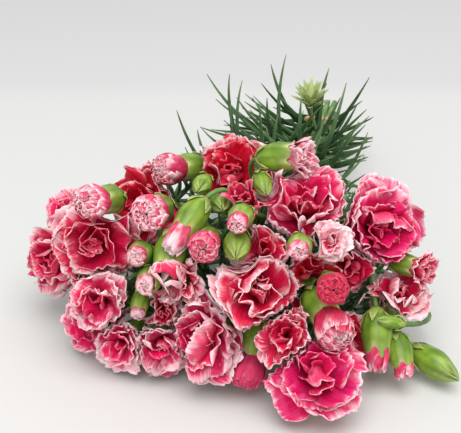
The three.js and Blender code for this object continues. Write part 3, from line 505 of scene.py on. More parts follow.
for spray, place in nodes:
    points = stems[spray]["points"]
    for step in SHOOT_STEPS:
        spot = min(max(place + step, 2), len(points) - 3)
        angle = shoot_dice(-0.5, 0.9) if shoot_dice() < 0.5 else math.pi - shoot_dice(-0.5, 0.9)
        grow_shoot_leaf(points, spot, shoot_dice(34, 66), angle, spray)
on_stems = len(leaves)
for wire in wires:
    points = wire["points"]
    for spot in range(3, len(points) - 2):
        if points[spot][1] < AMONG_Y and points[spot][2] < AMONG_TOP:
            for k in range(3):
                angle = shoot_dice(0, 2 * math.pi)
                grow_shoot_leaf(points, spot, shoot_dice(12, 26), angle, wire["spray"], anywhere=True)
print(on_stems - paired, "leaves of side shoots and", len(leaves) - on_stems, "among the heads")

# %% [markdown]
# ## The pale young shoot
# One young shoot stands over the foliage near the band. Its short, broad leaves are still pale and grow in
# a tight spiral: the lowest open widest, and the top ones stand almost upright. Its place is in
# millimetres, and it belongs to the spray whose stem it stands over.

# %% Grow the young shoot
YOUNG_SPRAY = [spray["name"] for spray in sprays].index("spray_top_right")
YOUNG_ROOT = np.array([12.0, 90.0, 46.0])
YOUNG_WAY = unit(np.array([0.0, -0.25, 1.0]))
YOUNG_LEAVES = 22
SPIRAL_STEP = 2.4
for k in range(YOUNG_LEAVES):
    level = k / (YOUNG_LEAVES - 1)
    out = around(YOUNG_WAY, SPIRAL_STEP * k)
    opens = math.radians(8 + 44 * (1 - level))
    leaves.append(dict(along=YOUNG_WAY, length=15 + 4 * level, out=out, spray=YOUNG_SPRAY, short=True,
                       root=YOUNG_ROOT + 3 * level * YOUNG_WAY + 0.8 * out, open_from=opens,
                       open_to=opens + 0.35, droop=0, width=4.6, young=0.8 + 0.2 * level))
print(YOUNG_LEAVES, "leaves on the young shoot,", len(leaves), "in all")

# %% [markdown]
# ## From layout to frame
# The layout's own origin is a little beside the frame's. The band is at a known place in both, so its
# box gives the shift. Everything is kept a little inside the solids' box, so that a skin's thickness
# stays inside it too.

# %% Shift and room
band_low, band_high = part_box("rubber_band")
SHIFT = np.array([500 * (band_low[0] + band_high[0]) - MIDDLE_X,
                  500 * (band_low[1] + band_high[1]) - TIE_Y, 0.0])
LOW = np.array(solid_low) * 1000 - SHIFT
HIGH = np.array(solid_high) * 1000 - SHIFT
INSET_LOW, INSET_HIGH = np.array([0.3, 0.3, 0.02]), 0.3
MM = 0.001
print("shift in mm", np.round(SHIFT, 2))

# %% [markdown]
# ## Templates
# Fine pieces are made as copies of small templates: each is a grid or a tube made by bmesh operators.

# %% Grids and tubes
def make_template(name, bm):
    mesh = bpy.data.meshes.new(name)
    bm.to_mesh(mesh)
    bm.free()
    return mesh


def grid_template(name, columns, rows):
    """A flat sheet; its corners' x goes from -1 to 1 across and y from 0 to 1 along."""
    bm = bmesh.new()
    bm.loops.layers.uv.new("sheet")
    bmesh.ops.create_grid(bm, x_segments=columns, y_segments=rows, size=1, calc_uvs=True)
    bmesh.ops.scale(bm, verts=bm.verts, vec=(1, 0.5, 1))
    bmesh.ops.translate(bm, verts=bm.verts, vec=(0, 0.5, 0))
    return make_template(name, bm)


def tube_template(name, sides, rings):
    """A closed tube; x and y run round a unit circle, and z from 0 to the number of rings."""
    bm = bmesh.new()
    bmesh.ops.create_cone(bm, cap_ends=True, segments=sides, radius1=1, radius2=1, depth=rings)
    bmesh.ops.translate(bm, verts=bm.verts, vec=(0, 0, rings / 2))
    long_edges = [e for e in bm.edges if abs(e.verts[0].co.z - e.verts[1].co.z) > 0.5]
    bmesh.ops.subdivide_edges(bm, edges=long_edges, cuts=rings - 1, use_grid_fill=False)
    return make_template(name, bm)


def corners(mesh):
    """Places of a template's corners, one row each."""
    flat = np.empty(3 * len(mesh.vertices))
    mesh.vertices.foreach_get("co", flat)
    return flat.reshape(-1, 3)


# %% [markdown]
# ## Placing copies
# The corners of all copies in a piece are moved to their places together. Each corner also carries values
# that the materials read, such as how near it is to a petal's edge.

# %% Copies and pieces
def copies(name, parts):
    """One mesh of placed template copies: parts is a list of (template, places in mm, values by name)."""
    bm = bmesh.new()
    for template, places, values in parts:
        bm.from_mesh(template)
    mesh = bpy.data.meshes.new(name)
    bm.to_mesh(mesh)
    bm.free()
    places = np.concatenate([places for template, places, values in parts])
    places = np.clip(places, LOW + INSET_LOW, HIGH - INSET_HIGH)
    mesh.vertices.foreach_set("co", ((places + SHIFT) * MM).ravel())
    for key in parts[0][2]:
        column = np.concatenate([np.broadcast_to(values[key], len(spots)) for _, spots, values in parts])
        mesh.attributes.new(key, "FLOAT", "POINT").data.foreach_set("value", column)
    mesh.polygons.foreach_set("use_smooth", [True] * len(mesh.polygons))
    mesh.update()
    return mesh


def show(name, mesh, node, materials, thickness=0.0):
    """Puts a mesh into the scene as a piece that stands for a node of the solids."""
    piece = bpy.data.objects.new(name, mesh)
    bpy.context.collection.objects.link(piece)
    for material in materials:
        mesh.materials.append(material)
    if thickness:
        skin = piece.modifiers.new("thickness", "SOLIDIFY")
        skin.thickness = thickness * MM
        skin.offset = 0
        skin.material_offset = 1 if len(materials) > 1 else 0
    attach(piece, "root")
    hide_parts(node)


# %% [markdown]
# ## Materials
# All materials are made of shader nodes. A few helpers make and link the nodes, so that the cells below
# read like a recipe.

# %% Node helpers
def new_group(name, inputs, outputs):
    group = bpy.data.node_groups.new(name, "ShaderNodeTree")
    for key, kind, value in inputs:
        socket = group.interface.new_socket(key, in_out="INPUT", socket_type=kind)
        socket.default_value = value
    for key, kind in outputs:
        group.interface.new_socket(key, in_out="OUTPUT", socket_type=kind)
    return group, group.nodes.new("NodeGroupInput"), group.nodes.new("NodeGroupOutput")


def node(tree, kind, links=(), **settings):
    """A node with its settings; links is a list of (input socket, output socket or fixed value)."""
    made = tree.nodes.new(kind)
    for key, value in settings.items():
        setattr(made, key, value)
    for socket, source in links:
        if isinstance(source, bpy.types.NodeSocket):
            tree.links.new(source, made.inputs[socket])
        else:
            made.inputs[socket].default_value = source
    return made


def mix(tree, factor, first, second):
    return node(tree, "ShaderNodeMix", [(0, factor), (6, first), (7, second)], data_type="RGBA").outputs[2]


def value(tree, operation, *sources):
    return node(tree, "ShaderNodeMath", list(enumerate(sources)), operation=operation).outputs[0]


def times(tree, first, second):
    return value(tree, "MULTIPLY", first, second)


def plus(tree, first, second):
    return value(tree, "ADD", first, second)


def ramp(tree, source, low, high):
    """0 below low, 1 above high, smooth between them."""
    made = node(tree, "ShaderNodeMapRange", [("Value", source), ("From Min", low), ("From Max", high)],
                interpolation_type="SMOOTHSTEP")
    return made.outputs[0]


def noise(tree, place, scale, detail):
    made = node(tree, "ShaderNodeTexNoise", [("Vector", place), ("Scale", scale), ("Detail", detail)])
    return made.outputs[0]


def mapped(tree, place, **changes):
    """A place after a change such as Scale or Rotation."""
    return node(tree, "ShaderNodeMapping", [("Vector", place), *changes.items()]).outputs[0]


def attribute(tree, name):
    return node(tree, "ShaderNodeAttribute", attribute_name=name).outputs["Fac"]


def new_material(name, constants):
    """A material with constants on its shader's own sockets; gives it with its tree and its shader."""
    material = bpy.data.materials.new(name)
    material.use_nodes = True
    shader = material.node_tree.nodes["Principled BSDF"]
    for socket, constant in constants.items():
        shader.inputs[socket].default_value = constant
    return material, material.node_tree, shader


def link_skin(tree, shader, colour, span, low, relief, strength, depth):
    """Links a colour, which each copy's own tone makes darker or lighter, and a fine relief."""
    lightness = plus(tree, times(tree, attribute(tree, "tone"), span), low)
    varied = node(tree, "ShaderNodeHueSaturation", [("Color", colour), ("Value", lightness)])
    tree.links.new(varied.outputs[0], shader.inputs["Base Color"])
    bump = node(tree, "ShaderNodeBump", [("Height", relief), ("Strength", strength), ("Distance", depth)])
    tree.links.new(bump.outputs[0], shader.inputs["Normal"])


# %% [markdown]
# ## Petal markings
# Their throat is darker, partly in their own colour and partly as painted shade deep in the cup.
# Petals are crimson to pink, with a pale margin that runs inwards in fine streaks.
# Both sides of a petal share these markings, so they are one node group. The margin is drawn from a value
# that every petal carries: the distance to its edge in millimetres. Fine noise that is stretched along the
# petal feathers this distance, and a second, wider step lets a soft glow fade behind the margin. Broad
# noise makes both wider in some places.

# %% The shared petal markings
PALE = (0.98, 0.67, 0.69, 1)
STREAKS = (34, 2.2, 1)
BROAD = (0.12, 1.4, 1)
FEATHER_MM = 8.0
MARGIN_MM = 3.2
GLOW_MM = 7.5
group, given, result = new_group(
    "Petal markings",
    [("Deep with shade", "NodeSocketColor", (0.4, 0, 0.03, 1)), ("Face", "NodeSocketColor", (0.7, 0.03, 0.12, 1)),
     ("Light", "NodeSocketColor", (0.85, 0.2, 0.35, 1)), ("Edge", "NodeSocketFloat", 5.0),
     ("Along", "NodeSocketFloat", 0.5), ("Tone", "NodeSocketFloat", 0.5),
     ("Margin", "NodeSocketFloat", 1.2)],
    [("Color", "NodeSocketColor"), ("Relief", "NodeSocketFloat")])
tone, light = given.outputs["Tone"], given.outputs["Light"]
sheet = node(group, "ShaderNodeUVMap", uv_map="sheet").outputs[0]
spread = node(group, "ShaderNodeCombineXYZ", [("X", times(group, tone, 40.0)),
                                              ("Z", times(group, tone, 9.0))]).outputs[0]
shifted = node(group, "ShaderNodeVectorMath", [(0, mapped(group, sheet, Scale=STREAKS)), (1, spread)],
               operation="ADD").outputs[0]
veins = noise(group, shifted, 1.0, 2.0)
patches = noise(group, mapped(group, shifted, Scale=BROAD), 1.0, 1.0)

reach = plus(group, given.outputs["Edge"], times(group, value(group, "SUBTRACT", veins, 0.5), FEATHER_MM))
uneven = plus(group, times(group, ramp(group, patches, 0.35, 0.7), 1.1), 0.55)
inner = times(group, given.outputs["Margin"], uneven)
faint = value(group, "MINIMUM", times(group, given.outputs["Margin"], 1.1), 1.0)
bands = []
for start, wide in ((-1.2, MARGIN_MM), (-0.5, GLOW_MM)):
    inwards = ramp(group, reach, start, times(group, inner, wide))
    bands.append(times(group, value(group, "SUBTRACT", 1.0, inwards), faint))
margin, glow = bands

# The throat's darker colour is partly the petal's own and partly painted shade deep in the cup.
throat_pigment_and_shade = ramp(group, given.outputs["Along"], 0.1, 0.62)
body = mix(group, throat_pigment_and_shade, given.outputs["Deep with shade"], given.outputs["Face"])
lit = plus(group, times(group, glow, 1.5), times(group, ramp(group, patches, 0.45, 0.8), 0.3))
body = mix(group, times(group, lit, 0.38), body, light)
body = mix(group, times(group, ramp(group, veins, 0.5, 0.75), 0.2), body, light)
group.links.new(mix(group, margin, body, PALE), result.inputs["Color"])
group.links.new(veins, result.inputs["Relief"])
petal_markings = group
print("petal markings made of", len(group.nodes), "nodes")

# %% [markdown]
# ## Petal skins
# A petal's face and its back are two skins with the same markings, and the back is paler. Light passes
# through both a little. Their colours are given for a crimson and for a rose petal, from throat to edge.

# %% Petal materials
PETAL_SKIN = {"Roughness": 0.55, "Subsurface Weight": 0.4, "Subsurface Radius": (1.0, 0.12, 0.2),
              "Subsurface Scale": 0.002, "Specular IOR Level": 0.1}


def petal_material(name, deep, face, light):
    """Petal skin; each colour is a pair, for a crimson and for a rose petal, and pink mixes the two."""
    material, tree, shader = new_material(name, PETAL_SKIN)
    marks = node(tree, "ShaderNodeGroup", node_tree=petal_markings)
    pink = attribute(tree, "pink")
    for socket, (crimson, rose) in (("Deep with shade", deep), ("Face", face), ("Light", light)):
        tree.links.new(mix(tree, pink, crimson, rose), marks.inputs[socket])
    for socket, key in (("Edge", "edge"), ("Along", "along"), ("Tone", "tone"), ("Margin", "rim")):
        tree.links.new(attribute(tree, key), marks.inputs[socket])
    link_skin(tree, shader, marks.outputs["Color"], 0.3, 0.86, marks.outputs["Relief"], 0.5, 0.0004)
    return material


# deep is the throat's colour: partly the petal's own, partly painted shade in the cup.
petal_face = petal_material("petal face",
                            deep=((0.27, 0.0, 0.006, 1), (0.41, 0.0, 0.045, 1)),
                            face=((0.52, 0.003, 0.024, 1), (0.69, 0.008, 0.13, 1)),
                            light=((0.80, 0.08, 0.125, 1), (0.88, 0.16, 0.35, 1)))
petal_back = petal_material("petal back",
                            deep=((0.36, 0.004, 0.022, 1), (0.49, 0.008, 0.06, 1)),
                            face=((0.59, 0.02, 0.06, 1), (0.72, 0.042, 0.145, 1)),
                            light=((0.90, 0.19, 0.24, 1), (0.93, 0.30, 0.42, 1)))

# %% [markdown]
# ## Green skins and the band
# Calyces are a waxy yellow-green, stems a duller green, and leaves a dark green that pales at the tip. All
# three are one kind of skin with its own colours. The rubber band is shown as the solids have it, so it
# only gets a material.

# %% Green and rubber materials
GREEN_SKIN = {"Subsurface Weight": 0.12, "Subsurface Radius": (0.4, 1.0, 0.2), "Subsurface Scale": 0.001,
              "Coat Weight": 0.07, "Coat Roughness": 0.35, "Specular IOR Level": 0.32}


def green_material(name, dark, bright, pale, roughness, grain):
    """Waxy green skin: the attribute tip runs from foot to tip, and a soft noise mottles it."""
    material, tree, shader = new_material(name, {**GREEN_SKIN, "Roughness": roughness})
    place = node(tree, "ShaderNodeTexCoord").outputs["Object"]
    mottle = ramp(tree, noise(tree, place, grain, 3.0), 0.35, 0.68)
    tint = mix(tree, attribute(tree, "tip"), mix(tree, mottle, dark, bright), pale)
    link_skin(tree, shader, tint, 0.4, 0.8, noise(tree, place, grain * 9, 2.0), 0.2, 0.0003)
    return material


calyx_green = green_material("calyx green", (0.108, 0.21, 0.014, 1), (0.22, 0.345, 0.036, 1),
                             (0.56, 0.60, 0.24, 1), 0.38, 120.0)
stem_green = green_material("stem green", (0.09, 0.19, 0.05, 1), (0.17, 0.30, 0.08, 1),
                            (0.3, 0.4, 0.14, 1), 0.5, 90.0)
leaf_green = green_material("leaf green", (0.035, 0.095, 0.035, 1), (0.095, 0.19, 0.075, 1),
                            (0.46, 0.54, 0.22, 1), 0.45, 90.0)

rubber, _, _ = new_material("rubber", {"Base Color": (0.5, 0.3, 0.12, 1), "Roughness": 0.6})
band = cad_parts["rubber_band"]
band.data.materials.clear()
band.data.materials.append(rubber)

# %% [markdown]
# ## Crowding
# The blooms press against each other. A petal keeps to its bloom's side of a soft wall between it and
# each neighbour, and stays over the table and inside the solids' box. A wall gives way from a part of its
# distance on: early between two blooms, and late over the table.

# %% Walls round a head
TABLE_SOFT, BOX_SOFT, BETWEEN_SOFT = 0.8, 0.75, 0.5


def reach_along(head, direction):
    """How far a bloom reaches from its heart in a direction: it is a flat ball, 0.6 as deep as wide."""
    straight = abs(head["axis"] @ direction)
    aside = math.sqrt(max(0, 1 - straight * straight))
    return 1 / math.hypot(straight / (0.3 * head["size"]), aside / (0.5 * head["size"]))


def soft_walls(head):
    """Walls round a head, each with its outward direction, its distance from the heart and its softness."""
    heart = bloom_heart(head)
    walls = [(np.array([0, 0, -1.0]), heart[2] - 0.25, TABLE_SOFT)]
    for axis in range(3):
        for sign, limit in ((1, HIGH[axis]), (-1, -LOW[axis])):
            normal = np.zeros(3)
            normal[axis] = sign
            room = limit - sign * heart[axis] - 0.4
            if (axis, sign) != (2, -1) and room < head["size"]:
                walls.append((normal, room, BOX_SOFT))
    if head["kind"] != "bloom":
        return walls
    for other in blooms:
        if other is head:
            continue
        normal = bloom_heart(other) - heart
        apart = np.linalg.norm(normal)
        if apart > 0.62 * (head["size"] + other["size"]):
            continue
        normal = normal / apart
        own = reach_along(head, normal)
        walls.append((normal, apart * own / (own + reach_along(other, normal)) - 0.3, BETWEEN_SOFT))
    return walls


# %% [markdown]
# ## What passes through a bloom
# A wire or a calyx near a head is taken as a chain of thick bars, with as few bars as still follow it.

# %% Bars near a head
BAR_BALL = 9


def off_bar(points, start, end):
    """The steps from a bar between two ends to points beside it."""
    along = end - start
    part = np.clip((points - start) @ along / max(along @ along, 1e-9), 0, 1)
    return points - start - part[:, None] * along


def thinned(points, within):
    """Few of a wire's points, which still follow it within the given distance."""
    off = np.linalg.norm(off_bar(points, points[0], points[-1]), axis=1)
    worst = int(np.argmax(off))
    if off[worst] < within:
        return [points[0], points[-1]]
    return thinned(points[:worst + 1], within)[:-1] + thinned(points[worst:], within)


def near_bars(head):
    """Bars with two ends and a radius for what passes a head; the hearts of other blooms are left out."""
    bars = []
    heart = bloom_heart(head)
    for wire in wires:
        chain = [(point, wire["radius"]) for point in thinned(wire["points"], 1.5)]
        if wire["head"] is not head:
            balls_here = head_balls(wire["head"])
            is_bloom = wire["head"]["kind"] == "bloom"
            chain += [ball for ball in balls_here if not is_bloom or ball[1] < BAR_BALL]
        elif head["kind"] != "bloom":
            continue
        for (a, ra), (b, rb) in zip(chain[:-1], chain[1:]):
            if np.linalg.norm(0.5 * (a + b) - heart) <= 0.5 * head["size"] + 18:
                bars.append((a, b, max(ra, rb) + 0.5))
    return bars


# %% [markdown]
# ## Pressing petals into their room
# Walls come first: past the soft part of its way to a wall, a point nears the wall but never reaches it.
# The walls between blooms are wavy, so that no petal ends in a straight cut. Then petals part round the
# bars: what lies nearer than the parting is moved outwards, and the most at a bar's middle.

# %% Press points
WAVY = 1.0


def press(points, heart, walls, bars, parting):
    """Moves points into the room that the walls leave, and parts them round the bars."""
    wobble = WAVY * np.sin(points @ np.array([0.9, 1.1, 0.7]))
    for normal, limit, softness in walls:
        out = (points - heart) @ normal
        if softness == BETWEEN_SOFT:
            out = out + wobble
        soft = limit * softness
        give = limit - soft
        pressed = soft + give * (1 - np.exp(-np.maximum(out - soft, 0) / give))
        points += np.where(out > soft, pressed - out, 0)[:, None] * normal
    for start, end, radius in bars:
        away = off_bar(points, start, end)
        gap = np.maximum(np.linalg.norm(away, axis=1), 1e-6)
        zone = radius + parting
        wanted = radius + gap * parting / zone
        points += np.where(gap < zone, (wanted - gap) / gap, 0)[:, None] * away
    return points


# %% [markdown]
# ## Petal sheets
# Every petal is a copy of a flat sheet, a finer one for wide blooms. A few helpers turn its columns and
# rows into a shape.

# %% Sheets and helpers
PETAL = grid_template("petal sheet", 24, 10)
SMALL_PETAL = grid_template("small petal sheet", 16, 8)


def smooth_step(x):
    x = np.clip(x, 0, 1)
    return x * x * (3 - 2 * x)


def running_sum(steps, middle):
    """Sums of the steps between columns, counted from the middle column."""
    sums = np.concatenate([np.zeros((len(steps), 1)), np.cumsum(steps, axis=1)], axis=1)
    return sums - sums[:, middle:middle + 1]


def sheet_marks(sheet):
    """The number of columns and rows of a sheet, and the column and row that each corner is in."""
    columns = len(np.unique(np.round(sheet[:, 0], 4))) - 1
    rows = len(np.unique(np.round(sheet[:, 1], 4))) - 1
    column = np.round((sheet[:, 0] + 1) * columns / 2).astype(int)
    return columns, rows, column, np.round(sheet[:, 1] * rows).astype(int)


# %% [markdown]
# ## One petal
# A petal is a fan: a narrow claw that widens into a broad blade with a toothed edge. It bends from the
# tilt at its claw to the tilt at its edge, counted from the way the head faces, so 0 stands upright and
# 90 lies flat. Its cross-section is a line that keeps its length while it turns: a cup turns it evenly, a
# fold turns it at one place, and ruffles turn it to and fro, more and more towards the edge.

# %% The places of a petal's corners
def petal_points(head, petal, sheet):
    """Places of one petal's corners, their distance to its edge in mm, and how far along they are."""
    columns, rows, column, row = sheet_marks(sheet)
    u = np.linspace(-1, 1, columns + 1)[None, :]
    v = (np.linspace(0, 1, rows + 1) ** 0.85)[:, None]

    dice = petal["dice"]
    teeth = np.array([dice(0.1, 1) if k % 2 else dice(0, 0.25) for k in range(columns + 1)])
    # how far each column reaches, and how the middle line of the petal bends
    outline = 1 - 0.07 * u ** 2 - 0.16 * u ** 6 - petal["dent"] * np.exp(-(u / 0.22) ** 2)
    long = v * outline
    long[-1] -= petal["teeth"] * teeth
    fine = np.linspace(0, 1.05, 43)
    tilts = petal["tilt_from"] + (petal["tilt_to"] - petal["tilt_from"]) * fine ** petal["late"]
    tilts = tilts + petal["roll"] * smooth_step((fine - 0.68) / 0.4)
    step = petal["length"] * (fine[1] - fine[0])
    spreads = np.cumsum(np.sin(0.5 * (tilts[1:] + tilts[:-1]))) * step
    radii = petal["start"] + np.concatenate([[0], spreads])
    rises = np.cumsum(np.cos(0.5 * (tilts[1:] + tilts[:-1]))) * step
    heights = petal["height"] + np.concatenate([[0], rises])
    tilt, radius, height = (np.interp(long, fine, curve) for curve in (tilts, radii, heights))

    # how the line across it turns: its cup, its fold and its ruffles
    half = petal["width"] * (0.17 + 0.83 * smooth_step((v + 0.1) / 0.85))
    wave = petal["waves"] * math.pi * u + petal["phase"]
    turn = petal["cup"] * (0.35 + 0.65 * v) * u
    turn = turn + petal["fold"] * smooth_step((u - petal["fold_at"]) / 0.4) * smooth_step((v - 0.15) / 0.5)
    turn = turn + petal["ruffle"] * v ** 2.4 * np.sin(wave)
    turn = turn + 0.6 * petal["ruffle"] * v ** 5 * np.sin(1.9 * wave + 1.3)
    middle_turn = 0.5 * (turn[:, 1:] + turn[:, :-1])
    across = half * running_sum(np.cos(middle_turn) * 2 / columns, columns // 2)
    inward = half * running_sum(np.sin(middle_turn) * 2 / columns, columns // 2)
    inward = inward + 0.35 * petal["ruffle"] * half / petal["waves"] * v ** 2.4 * np.cos(1.3 * wave)

    # one value for each corner, and the corners' places on the head
    tilt, radius, height, across, inward, long, half = (
        np.broadcast_to(part, (rows + 1, columns + 1))[row, column][:, None]
        for part in (tilt, radius, height, across, inward, long, half))
    out = around(head["axis"], petal["angle"])
    ahead = np.cross(head["axis"], out)
    normal = -np.cos(tilt) * out + np.sin(tilt) * head["axis"]
    turned = petal["twist"] * long
    sideways = np.cos(turned) * ahead + np.sin(turned) * normal
    lifted = np.cos(turned) * normal - np.sin(turned) * ahead
    places = head["rim"] + radius * out + height * head["axis"] + inward * lifted + across * sideways
    top = np.broadcast_to(outline * (1 - v), (rows + 1, columns + 1))[row, column] * petal["length"]
    beside = (1 - np.abs(sheet[:, 0])) * half[:, 0] + 14 * np.maximum(0.6 - long[:, 0], 0)
    return places, np.minimum(top, beside), long[:, 0]


# %% [markdown]
# ## The open blooms
# A bloom is built in whorls, from the wide guard petals at the outside to the upright, crumpled petals
# round its throat. Lengths are parts of the bloom's width, and low and high are the tilts at a petal's
# claw and edge in degrees. Cup and ruffle are how far its cross-section turns, in radians, waves is the
# number of its ruffles, and rim is how wide its pale margin is.

# %% Whorls
WHORL_VALUES = ("count", "low", "high", "length", "width", "height", "cup", "ruffle", "waves", "rim")
WHORLS = [dict(zip(WHORL_VALUES, row)) for row in (
    (5, 60, 96, 0.57, 0.36, 0.02, 0.2, 0.95, 2.6, 1.9),
    (5, 48, 76, 0.54, 0.33, 0.04, 0.3, 1.1, 2.5, 1.5),
    (4, 34, 50, 0.47, 0.28, 0.06, 0.6, 1.2, 2.2, 0.9),
    (3, 18, 24, 0.40, 0.21, 0.07, 1.2, 1.1, 1.9, 0.35),
    (2, 4, 6, 0.34, 0.15, 0.07, 1.5, 1.0, 1.6, 0.25))]
print(sum(whorl["count"] for whorl in WHORLS), "petals in the whorls of a wide bloom")

# %% [markdown]
# ## What sets single heads apart
# No two heads of a bunch are alike. Some blooms have a petal that curls in over the throat and shows its
# pale back: it is given by the angle that it grows at, in degrees round the head. Other heads have a wider
# or narrower pale margin than the rest, spread a little less, or have calmer ruffles. A closed bud's
# margins are wide, because only petal tips show.

# %% Single heads
CURLED_IN = {"bloom_centre": 135, "bloom_mid_low": 350, "bloom_right": 60, "bloom_lower_right": 160}
RIMS = {"bloom_right": 0.7, "bloom_front": 0.55, "bloom_left_bottom": 0.7, "bloom_far_left": 1.2,
        "bloom_low": 1.5, "bloom_low_left": 1.4, "bloom_mid_low": 1.25, "bloom_right_small": 2.2,
        "bloom_lower_right": 1.5, "bloom_inner": 0.6, "bloom_top": 0.7, "bloom_left_back": 0.7,
        "opening_top": 0.5, "opening_mid": 1.2, "opening_top_right": 2.0, "opening_left_top": 1.4,
        "opening_left_back": 1.4, "opening_left_inner": 1.6, "bud_mid_top": 5, "bloom_front_back": 0.8,
        "opening_centre": 0.8, "opening_right_mid": 0.3, "opening_front_left": 0.5,
        "opening_front_right": 1.5, "bloom_top_right": 1.2, "bloom_centre": 1.1}
BUD_RIM = 1.7
SPREADS = {"bloom_front": 0.96}
CALM = {"bloom_left": 0.6, "bloom_front": 0.7, "bloom_centre": 0.75, "bloom_right": 0.75,
        "bloom_mid_low": 0.8, "bloom_low": 0.8, "bloom_low_left": 0.8, "bloom_left_bottom": 0.75}
print(len(RIMS), "heads have a margin of their own, and", len(CALM), "have calmer ruffles")

# %% [markdown]
# ## The petals of a bloom
# Every petal draws its own tilt, size, cup, ruffles and twist around its whorl's values, and about half of
# the inner petals are folded. A small bloom has one petal less in each inner whorl. A petal that curls in
# over the throat comes last: it starts out at 46 degrees and bends back over the way the head faces. A
# bloom's dice are seeded from its place in the list.

# %% Petals of a bloom
WIDE_BLOOM = 36


def bloom_petals(head, dice):
    size = head["size"] * SPREADS.get(head["name"], 1)
    calm = CALM.get(head["name"], 1)
    petals = []
    start = dice(0, 2 * math.pi)
    for level, whorl in enumerate(WHORLS):
        count = whorl["count"] - (1 if size < WIDE_BLOOM and level > 0 else 0)
        for k in range(count):
            lean = dice(-14, 14)
            folds = level > 1 and dice() < 0.55
            sign = 1 if dice() < 0.5 else -1
            petals.append(dict(
                angle=start + 0.6 * level + (k + dice(-0.22, 0.22)) * 2 * math.pi / count,
                tilt_from=math.radians(whorl["low"] + 0.4 * lean),
                tilt_to=math.radians(whorl["high"] + lean),
                late=dice(0.8, 1.3), roll=dice(-0.7, 0.8), start=0.02 * size,
                length=whorl["length"] * size * dice(0.88, 1.06),
                width=whorl["width"] * size * dice(0.85, 1.15),
                height=whorl["height"] * size, cup=whorl["cup"] * dice(0.5, 1.5),
                fold=sign * dice(0.9, 2.2) if folds else 0.0, fold_at=dice(-0.1, 0.4),
                ruffle=calm * whorl["ruffle"] * dice(0.7, 1.25) * sign,
                waves=whorl["waves"] * dice(0.85, 1.2),
                phase=dice(0, 2 * math.pi), dent=dice(0, 0.08), teeth=0.055, twist=dice(-0.45, 0.45),
                rim=whorl["rim"] * dice(0.55, 1.35), tone=dice(), dice=dice))
    if head["name"] in CURLED_IN:
        petals.append(dict(
            angle=math.radians(CURLED_IN[head["name"]]), tilt_from=math.radians(46),
            tilt_to=math.radians(-48), late=1.3, roll=-0.5, start=0.02 * size,
            length=0.60 * size, width=0.30 * size, height=0.05 * size, cup=0.5, fold=0.0, fold_at=0.0,
            ruffle=0.8, waves=2.2, phase=dice(0, 6), dent=0.02, teeth=0.05, twist=0.1,
            rim=1.1, tone=dice(), dice=dice))
    return petals


# %% [markdown]
# ## From petals to a piece
# The petals of a head are shaped one by one, then moved together into the room that the head has. Where
# a stalk or a calyx passes through a petal, some faces are pulled apart: they are taken out, and a real
# petal is split there too. Partings are in millimetres, and the longest edge that a face may have is a
# part of the head's width. A modifier gives the sheet its thickness and its two sides a material each.

# %% One head's petals
PETAL_THICK = 0.28
BLOOM_PARTING, BUD_PARTING = 4, 1.4
BLOOM_EDGE, BUD_EDGE = 0.13, 0.36
FINE_BLOOM = 34


def drop_stretched(mesh, longest):
    """Takes out the faces with an edge over a length in millimetres."""
    bm = bmesh.new()
    bm.from_mesh(mesh)
    pulled = [face for face in bm.faces if max(edge.calc_length() for edge in face.edges) > longest * MM]
    bmesh.ops.delete(bm, geom=pulled, context="FACES")
    bm.to_mesh(mesh)
    bm.free()


def petal_piece(head, petals, shape, template):
    """All petals of a head as one piece; shape is the function that places one petal's corners."""
    is_bloom = head["kind"] == "bloom"
    sheet = corners(template)
    paled = RIMS.get(head["name"], BUD_RIM if head["kind"] == "bud" else 1.0)
    shaped = [shape(head, petal, sheet) for petal in petals]
    pressed = press(np.concatenate([places for places, edge, along in shaped]), bloom_heart(head),
                    soft_walls(head), near_bars(head), BLOOM_PARTING if is_bloom else BUD_PARTING)
    parts = []
    for petal, (_, edge, along), places in zip(petals, shaped, np.split(pressed, len(petals))):
        values = dict(edge=edge, along=along, tone=petal["tone"], rim=petal["rim"] * paled,
                      pink=head["pink"])
        parts.append((template, places, values))
    mesh = copies(head["name"] + " petals", parts)
    drop_stretched(mesh, head["size"] * (BLOOM_EDGE if is_bloom else BUD_EDGE))
    show(head["name"] + "_petals", mesh, head["name"], [petal_back, petal_face], PETAL_THICK)


for number, head in enumerate(blooms):
    template = PETAL if head["size"] >= FINE_BLOOM else SMALL_PETAL
    petal_piece(head, bloom_petals(head, Dice(900 + number)), petal_points, template)
print(len(blooms), "blooms dressed")

# %% [markdown]
# ## Opening and closed buds
# Some opening buds are already open tufts, with petals like a small bloom's. In the others, and in the
# closed buds, the petals are still furled: they lie on a dome that stands out of the calyx, and they lap
# over each other in a spiral. Rows of them reach higher and higher, and the last row closes the top.

# %% Open tufts
OPEN_TUFTS = {"opening_mid": 0.85, "opening_top": 0.84, "opening_right": 1.1, "opening_top_right": 0.9,
              "opening_left_low": 0.9, "opening_low_right": 0.8}
TUFT_VALUES = ("count", "low", "high", "start", "length", "width", "cup", "ruffle", "rim")
TUFT_WHORLS = [dict(zip(TUFT_VALUES, row)) for row in (
    (6, 10, 66, 0.31, 0.84, 0.34, 0.5, 1.0, 1.1),
    (5, 8, 38, 0.22, 0.86, 0.32, 0.8, 1.2, 0.9),
    (4, 4, 12, 0.10, 0.82, 0.26, 1.2, 1.2, 0.7))]


